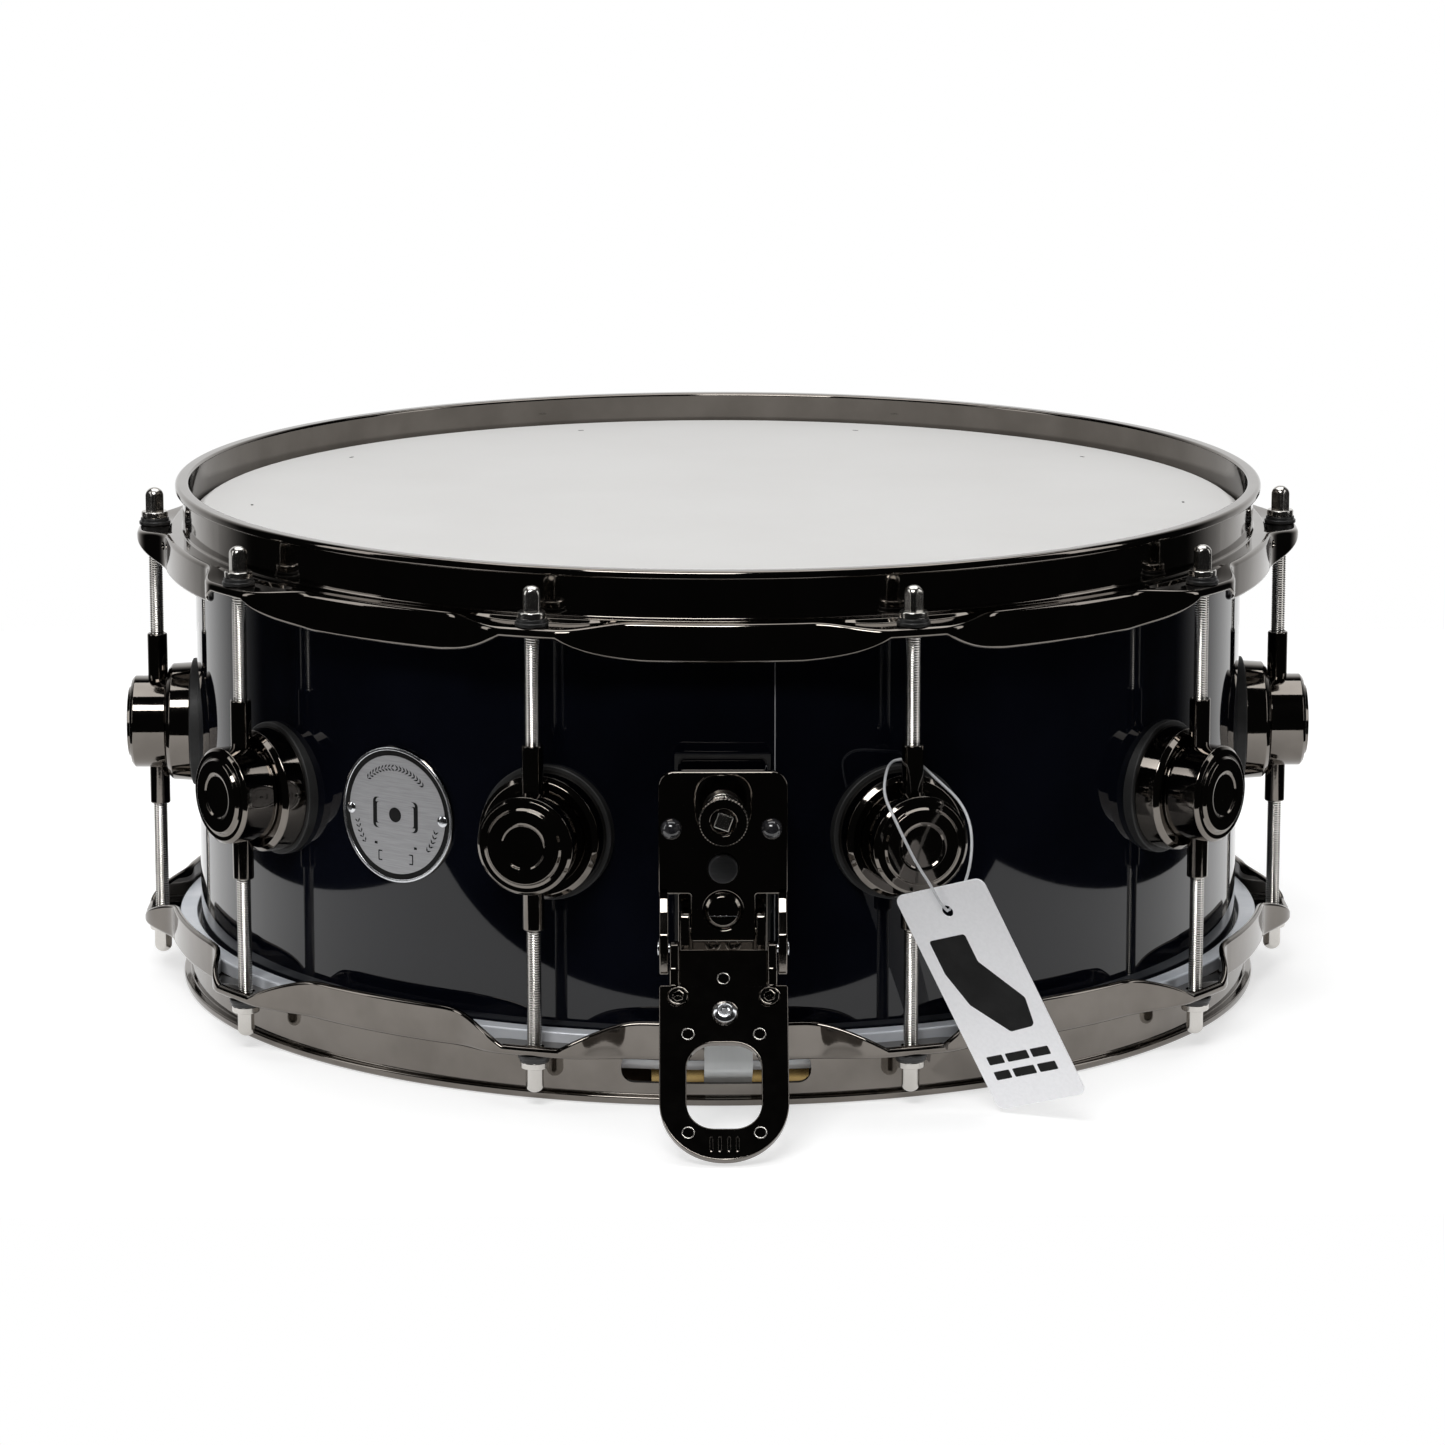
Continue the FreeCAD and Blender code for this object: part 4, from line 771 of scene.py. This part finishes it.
def rods():
    parts = tension_rod()

    def rod_piece(end, number, place):
        piece(f"rod_{end}_{number}_threaded", [moved(part, place) for part in parts], ROD_STEEL,
              f"rod_{end}_{number}", [f"tension_rod_{end}_{number}"], 50)

    washer = lathe(soft([
        (2.9, 68.55, 0.3), (5.3, 68.55, 0.3), (5.3, 69.8, 0.3), (4.8, 69.8, 0.1), (4.8, 70.9, 0.3),
        (2.9, 70.9, 0.2)], 4), 64, True)
    washers = []
    for number, angle in enumerate(ROD_ANGLES, 1):
        place = standing(angle, ROD_CIRCLE)
        twist = math.radians(KEY_TURNS[number - 1]) - angle
        rod_piece("top", number, place @ spin(twist))
        washers.append(moved(washer, place))
    for number in range(1, ROD_COUNT + 1):
        spot = middle(f"tension_rod_bottom_{number}")
        place = standing(math.atan2(spot.x, -spot.y), ROD_CIRCLE) @ spin(math.pi, "X")
        twist = math.radians(LOWER_TURN_STEP * number + LOWER_TURN_START)
        rod_piece("bottom", number, place @ spin(twist))
    piece("rod_washers_top_nylon", washers, NYLON, DRUM, ["rod_washers_top"])
    piece("rod_washers_bottom_nylon", [moved(part, FLIPPED) for part in washers], NYLON, DRUM,
          ["rod_washers_bottom"])


# -------- badge and vent

BADGE_ANGLE = math.radians(-35.6)
# Back, front and edge rounding of the print on the badge.
BADGE_INK = (178.6, 178.65, 0.01)


def leaf(x, y, turn, length=1.7, width=0.55):
    outline = [(length * math.cos(turn) / 2 * s - width / 2 * c * math.sin(turn) + x,
                length * math.sin(turn) / 2 * s + width / 2 * c * math.cos(turn) + y)
               for s, c in ((-1, 0), (-0.3, -1), (1, 0), (-0.3, 1))]
    return slab(outline, *BADGE_INK)


def sprig(turn, radius, tilt):
    """Two leaves, one to each side of a wreath's line."""
    return [leaf((radius + lean * 0.5) * math.cos(turn), (radius + lean * 0.5) * math.sin(turn),
                 turn + math.pi / 2 + lean * tilt) for lean in (-1, 1)]


def badge():
    def on_shell(part):
        return wrapped(part, 178.0, BADGE_ANGLE)
    steps = [2.0 * step for step in range(10)]
    disc = lathe([(0, 177.56), (11, 177.56), (22, 177.56), (22, 178.3), (21.8, 178.45)]
                 + [(radius, 178.45) for radius in (20, 16, 12, 8, 4, 0)], 128)
    face = lathe([(radius, 178.4) for radius in steps] + [(19.2, 178.4), (19.2, 178.55), (19.1, 178.6)]
                 + [(radius, 178.6) for radius in reversed(steps)], 128)
    piece("badge_plate", [on_shell(disc)], BLACK_NICKEL, DRUM, ["badge"])
    ring = lathe([(19.25, 178.42), (20.95, 178.42), (20.95, 178.56), (19.25, 178.56)], 128, True)
    piece("badge_black_ring", [on_shell(ring)], INK, DRUM)
    rim = lathe(soft([
        (20.9, 178.4, 0.1), (22.0, 178.4, 0.3), (22.0, 178.95, 0.3), (20.9, 178.95, 0.25)], 3), 128, True)
    piece("badge_rim", [on_shell(rim)], BRIGHT_STEEL, DRUM)
    piece("badge_brushed_face", [on_shell(face)], BADGE_FACE, DRUM)
    print_parts = []
    for side in (-1, 1):
        for step in range(9):
            print_parts += sprig(math.radians(90 + side * (3 + 5.2 * step)), 15.3, side * 0.7)
        for step in range(5):
            print_parts += sprig(math.radians(270 + side * (52 + 6 * step)), 16.2, -side * 0.7)
    print_parts += [
        slab(rectangle(-9, -5, 9, 5, 1.5), *BADGE_INK, [rectangle(-7.4, -3.4, 7.4, 3.4, 0.8)]),
        slab(circle(2.4, 0, 0, 40), *BADGE_INK),
        slab(rectangle(-8.5, -10.4, 8.5, -9.6, 0.2), *BADGE_INK),
        slab(rectangle(-7, -15.6, 7, -12.2, 0.3), *BADGE_INK, [rectangle(-6.6, -15.2, 6.6, -12.6, 0.2)])]
    piece("badge_print", [on_shell(part) for part in print_parts], INK, DRUM)
    tack = lathe(soft([
        (0, 177.6), (1.3, 177.6), (1.9, 178.6, 0.1), (1.9, 178.9, 0.3), (1.0, 179.35, 0.6), (0, 179.4)], 4,
        closed=False), 40)
    tacks = [on_shell(moved(tack, shift((side * 18.3, 0, 0)))) for side in (-1, 1)]
    piece("badge_tacks_domed", tacks, BRIGHT_STEEL, DRUM, ["badge_tacks"])


def vent():
    spot = middle("vent_grommet")
    angle = math.atan2(spot.x, -spot.y)
    eyelet = lathe(soft([
        (3.5, 171, 0.2), (3.5, 179.2, 0.9), (8.0, 179.2, 0.8), (8.0, 177.6, 0.2), (5.0, 177.6),
        (5.0, 171, 0.2)], 5), 64, True)
    piece("vent_eyelet", [moved(eyelet, facing(angle))], BLACK_NICKEL, DRUM, ["vent_grommet"])


# -------- throw-off

KNOB_HEIGHT = 13.2
ARCH_HALF = 8.4
MAGNET_LOW = 4.7
PLATE_SCREW_LOW = 18.2
BUMPER_HIGH = 8
SOCKET_SIDE, SOCKET_LOW = 14.1, 16.7
STRIKE_SIDE, STRIKE_LOW = 0.4, 22.3


def hexagon(radius, x=0.0, y=0.0, start=0.0):
    return circle(radius, x, y, 6, start)


def throwoff_housing():
    parts = [
        slab(rectangle(-14, -46, 14, 26, 2.0), 179.3, 184.5, 0.5),
        slab(rectangle(-14, -12, 14, 26, 1.6), 184.0, 197.5, 0.8),
        slab(rectangle(-9.5, -20.5, 9.5, -11, 0.6), 184.0, 197.5, 0.4),
        slab(rectangle(-9.5, -46, 9.5, -43, 0.6), 184.0, 190.3, 0.4),
    ]
    piece("throwoff_housing_cast", [moved(part, FRONT) for part in parts], BLACK_NICKEL, DRUM,
          ["throwoff_housing"])


def throwoff_faceplate():
    """The face plate, with the two hinge legs that bend forward from it."""
    outline = soft([
        (-20, 26, 5), (-20, -13, 1.2), (-10, -13, 0.8), (-10, -28, 0.8), (10, -28, 0.8), (10, -13, 0.8),
        (20, -13, 1.2), (20, 26, 5)], 8)
    low = KNOB_HEIGHT - ARCH_HALF
    arch = soft([
        (-ARCH_HALF, 24.6, 6.0), (-ARCH_HALF, low, 8.3), (ARCH_HALF, low, 8.3), (ARCH_HALF, 24.6, 6.0)], 14)
    holes = [arch, circle(4.6, 0, -MAGNET_LOW), circle(6.15, 0, -PLATE_SCREW_LOW)]
    plate = [moved(slab(outline, 197.5, 200, 0.6, holes, 3), FRONT)]
    leg = soft([
        (197.6, -11, 0.2), (200, -11, 0.3), (200.0, -14.0, 1.5), (202.6, -18, 2.0), (207.5, -24.5, 2.5),
        (207.5, -30, 2.4), (206.6, -37, 0.8), (202.0, -37, 0.8), (200.5, -29, 1.5), (197.6, -18, 2.0)], 5)
    plate += both_sides(leg, 17.0, 19.8, 0.4, SIDE)
    piece("throwoff_faceplate_cast", plate, BLACK_NICKEL, DRUM, ["throwoff_faceplate"])


def throwoff_screws():
    """The slotted screw in the face plate, with a bright steel strip in its slot as a painted highlight, and
    the mounting screws inside the shell.
    """
    place = facing(0, -PLATE_SCREW_LOW)
    screw_head = lathe(soft([
        (0, 198.5), (5.9, 198.5, 0.2), (5.9, 199.6, 0.5), (4.6, 200.9, 0.8), (0, 201.0)], 5,
        closed=False), 64)
    slot = slab(rectangle(-5.0, -1.9, 5.0, -1.1), 200.2, 203, 0.01)
    head = build("throwoff_plate_screw", [moved(screw_head, place)])
    carve(head, [moved(slot, place)])
    fit(head, BLACK_NICKEL, DRUM)
    # A thin bright steel strip down the slot: a painted highlight, the glint along the slot.
    bright = slab(rectangle(-4.4, -1.7, 4.4, -1.35), 200.0, 200.7, 0.05)
    piece("throwoff_screw_slot_highlight", [moved(bright, place)], BRIGHT_STEEL, DRUM)
    inner_screw = lathe(soft([
        (0, 166.69), (4.3, 166.69, 1.0), (4.3, 169.69), (4.9, 169.69, 0.2), (4.9, 170.69), (2.0, 170.69),
        (2.0, 184.0), (0, 184.0)], 4, closed=False), 40)
    inner = [moved(inner_screw, facing(0, height)) for height in (20, -28)]
    inner += [moved(inner_screw, facing(math.pi, height)) for height in (-17.5, -28)]
    piece("strainer_inner_screws", inner, BRIGHT_STEEL, DRUM, ["strainer_mount_screws"])


def throwoff_fittings():
    """Magnet, rubber bumpers, hinge pins and guide rods."""
    disc = lathe(soft([(0, 197.5), (4.5, 197.5), (4.5, 201.6, 0.5), (0, 201.6)], 4, closed=False), 64)
    piece("throwoff_magnet_disc", [moved(disc, facing(0, -MAGNET_LOW))], MAGNET, DRUM,
          ["magnet"])
    dome = lathe([(0, 198.0), (2.0, 198.0), (2.0, 200.0), (3.3, 200.0), (3.3, 200.7)]
                 + [(3.3 * math.cos(t), 200.7 + 3.3 * math.sin(t)) for t in np.linspace(0.1, 1.5, 9)]
                 + [(0, 204.0)], 48)
    domes = [moved(dome, FRONT @ shift((x, BUMPER_HIGH, 0))) for x in (-16, 15)]
    piece("throwoff_gel_bumpers", domes, BUMPER_GEL, DRUM, ["bumpers"])
    pin = lathe(soft([
        (0, 13.7), (1.5, 13.7, 0.2), (1.5, 19.8), (2.4, 19.8, 0.2), (2.4, 20.4, 0.3), (0, 20.4)], 3,
        closed=False), 32)
    spot = shift((0, -HINGE_FORWARD, MID + HINGE_HEIGHT))
    pins = [moved(pin, spot @ spin(side * math.pi / 2, "Y")) for side in (-1, 1)]
    piece("throwoff_hinge_pins", pins, BRIGHT_STEEL, DRUM, ["hinge_pins"])
    rod = lathe(soft([(0, -45.5), (1.5, -45.5, 0.2), (1.5, -8, 0.2), (0, -8)], 3, closed=False), 32)
    guides = [moved(rod, shift((side * 7.0, -187.6, MID))) for side in (-1, 1)]
    piece("throwoff_guide_rods", guides, BRIGHT_STEEL, DRUM, ["guide_rods"])


def knurled(low, high, neck, mouth, ridges=44, depth=0.3):
    """A cone about Z that widens from neck to mouth, with straight knurling and a chamfered front."""
    rows = [(low, neck, 0.0), (low + 0.4, neck + 0.3, 0.0), (low + 0.8, neck + 0.5, depth),
            (high - 0.7, mouth, depth), (high - 0.2, mouth - 0.25, depth), (high, mouth - 0.6, 0.0)]
    rings = []
    for z, edge, cut in rows:
        rings.append([(*polar(edge - cut * (1 - abs((step % 6) / 3 - 1)), turn), z)
                      for step, turn in enumerate(around(ridges * 6))])
    return rings


def knob():
    rings = knurled(201.0, 214.5, 5.2, 7.8)
    well = soft([(7.2, 214.5), (4.4, 214.5, 0.1), (3.85, 214.0, 0.1), (3.7, 212.5, 0.2), (0.5, 212.5)], 3,
                closed=False)
    for radius, z in well[1:]:
        rings.append([(*polar(radius, turn), z) for turn in around(len(rings[0]))])
    grip = loft(rings, False)
    neck = lathe(soft([
        (0, 186.5), (3.0, 186.5), (3.0, 197.7), (5.0, 197.7, 0.4), (5.0, 201.2), (0, 201.2)], 3,
        closed=False), 48)
    place = facing(0, KNOB_HEIGHT)
    turn = spin(math.radians(-20))
    post = slab(rectangle(-2.5, -2.5, 2.5, 2.5, 0.3), 212.4, 214.6, 0.45)
    parts = [moved(part, place) for part in (grip, neck)]
    piece("adjuster_knob_knurled", parts, BLACK_NICKEL, "adjuster_knob", ["knob"], 28)
    piece("adjuster_knob_post", [moved(post, place @ turn)], ROD_STEEL, "adjuster_knob")


def knob_bushing():
    """The flared collar behind the knob, seen through the arch in the face plate."""
    flare = lathe(soft([
        (5.3, 193.0, 0.1), (7.9, 193.0, 0.2), (7.9, 194.6, 0.4), (5.6, 199.4, 0.3), (5.3, 199.4, 0.1)], 5),
        72, True)
    piece("throwoff_knob_bushing", [moved(flare, facing(0, KNOB_HEIGHT))], ROD_STEEL, DRUM)


def clamp_screws(sides, y, tip, seat, top):
    """Socket screws at a height, each a head on its seat and a shank."""
    parts = []
    for x in sides:
        parts.append(slab(circle(2.6, x, y, 32), seat, top, 0.4, [hexagon(1.4, x, y)]))
        parts.append(slab(circle(1.5, x, y, 24), tip, seat + 0.4, 0.1))
    return parts


def strainer_slide():
    """The carriage between the guide rods, with its clamp bar and screws."""
    parts = [moved(slab(rectangle(-13.3, -38, 13.3, -26, 0.6), 185.2, 190.5, 0.4), FRONT)]
    rail = soft([(185.2, -42, 0.8), (201.2, -42, 2.4), (201.2, -18.5, 2.8), (185.2, -18.5, 2.0)], 6)
    parts += both_sides(rail, 10.3, 13.3, 0.5, SIDE)
    piece("strainer_carriage_cast", parts, BLACK_NICKEL, "strainer_slide", ["carriage"])
    bar = slab(rectangle(-9.6, -38, 9.6, -27, 1.2), 191.4, 194.6, 0.5)
    piece("strainer_clamp_bar", [moved(bar, FRONT)], BLACK_NICKEL, "strainer_slide",
          ["clamp_bar"])
    screws = [moved(part, FRONT) for part in clamp_screws((-3.2, 3.2), -29.5, 186.5, 194.6, 197.2)]
    piece("strainer_clamp_screws", screws, BLACK_NICKEL, "strainer_slide", ["clamp_screws"])


RING_RADIUS = 1.85
RING_HALF = 0.18


def lever():
    """The lever plate with its two hinge ears, and the rings and bars cast into its face; the rings are in
    brighter rod steel, a painted highlight on their chamfered edges.
    """
    outline = soft([
        (-13.7, -0.2, 0.8), (-13.7, -12.6, 0.4), (-19.9, -12.6, 0.8), (-19.9, -72.3, 19.7),
        (19.9, -72.3, 19.7), (19.9, -12.6, 0.8), (13.7, -12.6, 0.4), (13.7, -0.2, 0.8)], 20)
    window = rectangle(-11.5, -61.5, 11.5, -32.5, 8.5, 14)
    sockets = [circle(3.12, side * SOCKET_SIDE, -SOCKET_LOW, 40) for side in (-1, 1)]
    holes = [window, *sockets, circle(3.75, STRIKE_SIDE, -STRIKE_LOW, 40)]
    parts = [moved(slab(outline, -3.0, -0.5, 0.4, holes, 3), LEVER_FRONT)]
    ear = soft([(-3.0, -14, 0.2), (-3.0, 0, 2.9), (0.0, 3.4, 2.5), (3.0, 0, 2.9), (3.0, -9, 1.5),
                (-0.5, -12.6, 0.3), (-0.5, -14, 0.2)], 6)
    parts += both_sides(ear, 13.7, 16.6, 0.5, LEVER_SIDE)
    piece("lever_plate_cast", parts, BLACK_NICKEL, "throwoff_lever", ["lever"])
    # Rings in bright rod steel on the black lever: a painted highlight standing for the glint of their
    # chamfered edges.
    ring = lathe(circle(RING_HALF, RING_RADIUS, steps=12), 48, True)
    rings = [moved(ring, LEVER_FRONT @ shift((x, y, -0.47)))
             for x, y in ((0, -10.4), (-11, -29.5), (11, -29.5), (-11, -63), (11, -63))]
    piece("lever_ring_highlights", rings, ROD_STEEL, "throwoff_lever")
    bars = [moved(slab(rectangle(x - 0.5, -69.5, x + 0.5, -64.5, 0.4), -0.55, -0.3, 0.08), LEVER_FRONT)
            for x in (-4, -1.4, 1.4, 4)]
    piece("lever_cast_marks", bars, BLACK_NICKEL, "throwoff_lever")


def lever_fasteners():
    """The two socket screws and the steel bolt that meets the magnet."""
    sockets = []
    for x in (-SOCKET_SIDE, SOCKET_SIDE):
        key = hexagon(1.6, x, -SOCKET_LOW, 0.3)
        sockets.append(slab(circle(3.1, x, -SOCKET_LOW, 40), -2.6, 0.4, 0.4, [key], 3))
        sockets.append(slab(circle(2.5, x, -SOCKET_LOW, 24), -2.6, -1.2, 0.1))
    spot = LEVER_FRONT @ shift((STRIKE_SIDE, -STRIKE_LOW, 0))
    bolt = lathe(soft([
        (0, -2.9), (3.7, -2.9), (3.7, 0.6, 0.6), (2.3, 1.5, 1.0), (0, 1.6)], 5, closed=False), 56)
    strike = build("lever_strike_bolt", [moved(bolt, spot)])
    carve(strike, [moved(slab(hexagon(1.5), 0.6, 3.0, 0.01), spot)])
    fit(strike, BRIGHT_STEEL, "throwoff_lever")
    piece("lever_socket_screws", [moved(part, LEVER_FRONT) for part in sockets], BLACK_NICKEL,
          "throwoff_lever", ["lever_fasteners"])


# -------- snares and butt

def ribbon(path, thick):
    """The outline of a strip of even thickness along a path."""
    points = [Vector(point) for point in path]
    normals = []
    for index in range(len(points)):
        before = points[max(index - 1, 0)]
        after = points[min(index + 1, len(points) - 1)]
        along = (after - before).normalized()
        normals.append(Vector((-along.y, along.x)))
    left = [tuple(point + normal * thick / 2) for point, normal in zip(points, normals)]
    right = [tuple(point - normal * thick / 2) for point, normal in zip(points, normals)]
    return left + right[::-1]


def front_and_back(profile, right, left, edge):
    """A side profile at the front, and its mirror image at the back."""
    return [moved(slab(outline, right, left, edge), SIDE) for outline in (profile, mirrored(profile))]


STRAND_COUNT = 20
STRAND_LEFT = -21
STRAND_SPAN = 47.0
WIRE_HALF_LENGTH = 162.7
WIRE_LOW = 78.95
COIL_TURNS, COIL_ROWS, COIL_SIDES = 200, 4, 8


def coil(x):
    """One coiled strand from the front end plate to the back one, seen as a waved tube."""
    rows = COIL_TURNS * COIL_ROWS
    rings = []
    for row in range(rows + 1):
        y = -WIRE_HALF_LENGTH + 2 * WIRE_HALF_LENGTH * row / rows
        ring = []
        for turn in around(COIL_SIDES):
            radius = 0.66 + 0.09 * math.cos(2 * math.pi * row / COIL_ROWS - turn)
            ring.append((x + radius * math.cos(turn), y, MID - WIRE_LOW + radius * math.sin(turn)))
        rings.append(ring)
    return loft(rings, False)


def snares():
    path = soft([
        (190.95, -31.5), (190.95, -50.0), (190.95, -68.5), (189.7, -72.4, 2.0), (163.5, -84.15, 6.0),
        (156, -84.15)], 8, closed=False)
    straps = front_and_back(ribbon(path, 0.5), -9.4, 5.8, 0.05)
    piece("snare_straps_frosted", straps, STRAP_FILM, "snare_set", ["snare_straps"])
    angle_bar = soft([
        (163.5, -78.2, 0.2), (163.5, -83.9, 0.7), (154.0, -83.9, 0.2), (154.0, -83.1, 0.2),
        (162.7, -83.1, 0.2), (162.7, -78.2, 0.2)], 4)
    bars = front_and_back(angle_bar, -27.5, 22.5, 0.1)
    piece("snare_end_plates_brass", bars, END_BRASS, "snare_set", ["snare_end_plates"])
    strands = [coil(STRAND_LEFT + STRAND_SPAN * number / (STRAND_COUNT - 1))
               for number in range(STRAND_COUNT)]
    piece("snare_wires_coiled", strands, SNARE_STEEL, "snare_set", ["snare_wires"], 70)


def butt():
    plate = slab(rectangle(-16, -40, 16, -14, 3.0), 179.3, 190.5, 1.0)
    piece("butt_plate_cast", [moved(plate, BACK)], BLACK_NICKEL, DRUM, ["butt_plate"])
    bar = slab(rectangle(-16, -38, 16, -21, 2.0), 191.4, 194.4, 0.7)
    piece("butt_clamp_bar_cast", [moved(bar, BACK)], BLACK_NICKEL, DRUM, ["butt_clamp_bar"])
    screws = [moved(part, BACK) for part in clamp_screws((-9, 9), -25.5, 183.0, 194.4, 196.6)]
    piece("butt_clamp_screws", screws, BRIGHT_STEEL, DRUM, ["butt_screws"])


def dress_nodes():
    """CAD pieces that stay as they are get their materials."""
    for node, material in (("lug_screws", BRIGHT_STEEL), ("strainer_gaskets", RUBBER)):
        paint(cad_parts[node], material)


# -------- stage

def spread(nodes, links, number, start, stop):
    """From 0 at start to 1 at stop, eased."""
    made = nodes.new("ShaderNodeMapRange")
    made.interpolation_type = "SMOOTHSTEP"
    made.inputs["From Min"].default_value = start
    made.inputs["From Max"].default_value = stop
    links.new(number, made.inputs["Value"])
    return made.outputs["Result"]


# Metres. Under the drum, between the two foot radii, the floor fades into a painted shade: its glow goes out
# and its colour turns a warm brown, a painted shadow with the maple's painted warm reflection.
FLOOR_LEFT, FLOOR_RIGHT, FLOOR_FRONT, FLOOR_BACK = -0.36, 0.36, -0.30, 0.60
FOOT_INSIDE, FOOT_OUTSIDE = 0.170, 0.182
FLOOR_DROP = 0.0003
FLOOR_GLOW = 0.62


def floor():
    """A small lit table top, so that only the drum's lowest parts mirror it, with a painted shade in warm
    brown under the drum.
    """
    material = shader("floor_paper", (0.55, 0.55, 0.55), roughness=0.9)
    nodes, links = tree(material)
    surface = nodes["Principled BSDF"]
    surface.inputs["Emission Color"].default_value = (1, 1, 1, 1)
    place = nodes.new("ShaderNodeTexCoord")
    reach = nodes.new("ShaderNodeVectorMath")
    reach.operation = "LENGTH"
    links.new(place.outputs["Object"], reach.inputs[0])
    # 0 under the drum, where the painted shade lies, and 1 on the open floor.
    outside_painted_shade = spread(nodes, links, reach.outputs["Value"], FOOT_INSIDE, FOOT_OUTSIDE)
    # Painted shadow under the drum, warm brown for the maple's light bounced down; pale grey on the open
    # floor.
    vary_colour(material, outside_painted_shade, (0.40, 0.29, 0.20), (0.55, 0.55, 0.55), 0.2, 0.8)
    # The glow goes out under the drum, which deepens the painted shadow.
    glow = nodes.new("ShaderNodeMath")
    glow.operation = "MULTIPLY"
    glow.inputs[1].default_value = FLOOR_GLOW
    links.new(outside_painted_shade, glow.inputs[0])
    links.new(glow.outputs["Value"], surface.inputs["Emission Strength"])
    bump(material, noise(material, 900, 3), 0.01)
    mesh = bpy.data.meshes.new("floor")
    corners = [(FLOOR_LEFT, FLOOR_FRONT, 0), (FLOOR_RIGHT, FLOOR_FRONT, 0),
               (FLOOR_RIGHT, FLOOR_BACK, 0), (FLOOR_LEFT, FLOOR_BACK, 0)]
    mesh.from_pydata(corners, [], [[0, 1, 2, 3]])
    mesh.materials.append(material)
    made = placed("floor", mesh)
    made.location.z = -FLOOR_DROP


def softbox(name, place, aim, width, height, power):
    light = bpy.data.lights.new(name, "AREA")
    light.shape = "RECTANGLE"
    light.size = width
    light.size_y = height
    light.energy = power
    made = placed(name, light)
    made.location = place
    made.rotation_euler = (Vector(aim) - Vector(place)).to_track_quat("-Z", "Y").to_euler()
    made.visible_camera = False


# How bright the dark part of the room is, against 1 for the backdrop.
DARK_ROOM = 0.008


def studio():
    """White all round for the camera. The drum itself mirrors a lit backdrop behind it and a dark room."""
    world = bpy.data.worlds.new("studio")
    bpy.context.scene.world = world
    world.use_nodes = True
    nodes, links = tree(world)
    nodes.clear()
    output = nodes.new("ShaderNodeOutputWorld")
    seen = nodes.new("ShaderNodeBackground")
    seen.inputs["Color"].default_value = (1, 1, 1, 1)
    place = nodes.new("ShaderNodeTexCoord")
    direction = nodes.new("ShaderNodeSeparateXYZ")
    links.new(place.outputs["Generated"], direction.inputs["Vector"])
    behind = spread(nodes, links, direction.outputs["Y"], 0.45, 0.92)
    low = spread(nodes, links, direction.outputs["Z"], 0.75, 0.45)
    lit = nodes.new("ShaderNodeMath")
    lit.operation = "MULTIPLY"
    links.new(behind, lit.inputs[0])
    links.new(low, lit.inputs[1])
    room = nodes.new("ShaderNodeBackground")
    links.new(scaled(nodes, links, lit.outputs["Value"], DARK_ROOM, 1.0), room.inputs["Strength"])
    room.inputs["Color"].default_value = (1, 1, 1, 1)
    mix = nodes.new("ShaderNodeMixShader")
    path = nodes.new("ShaderNodeLightPath")
    links.new(path.outputs["Is Camera Ray"], mix.inputs["Fac"])
    links.new(room.outputs["Background"], mix.inputs[1])
    links.new(seen.outputs["Background"], mix.inputs[2])
    links.new(mix.outputs["Shader"], output.inputs["Surface"])
    softbox("overhead", (0, 0.25, 1.5), (0, 0, 0.1), 1.6, 1.3, 16.5)
    softbox("front_top", (-0.35, -1.5, 1.6), (0, -0.2, 0.1), 1.0, 0.5, 23)
    for name, side in (("left_strip", -1), ("right_strip", 1)):
        softbox(name, (side * 1.25, -0.25, 0.55), (0, 0, 0.1), 0.35, 1.0, 2.2)
    bpy.context.scene.view_settings.view_transform = "Standard"


camera()
hang_tag()
floor()
studio()
hoops()
heads()
shell()
lugs()
rods()
badge()
vent()
throwoff_housing()
throwoff_faceplate()
throwoff_screws()
throwoff_fittings()
knob()
knob_bushing()
strainer_slide()
lever()
lever_fasteners()
snares()
butt()
dress_nodes()
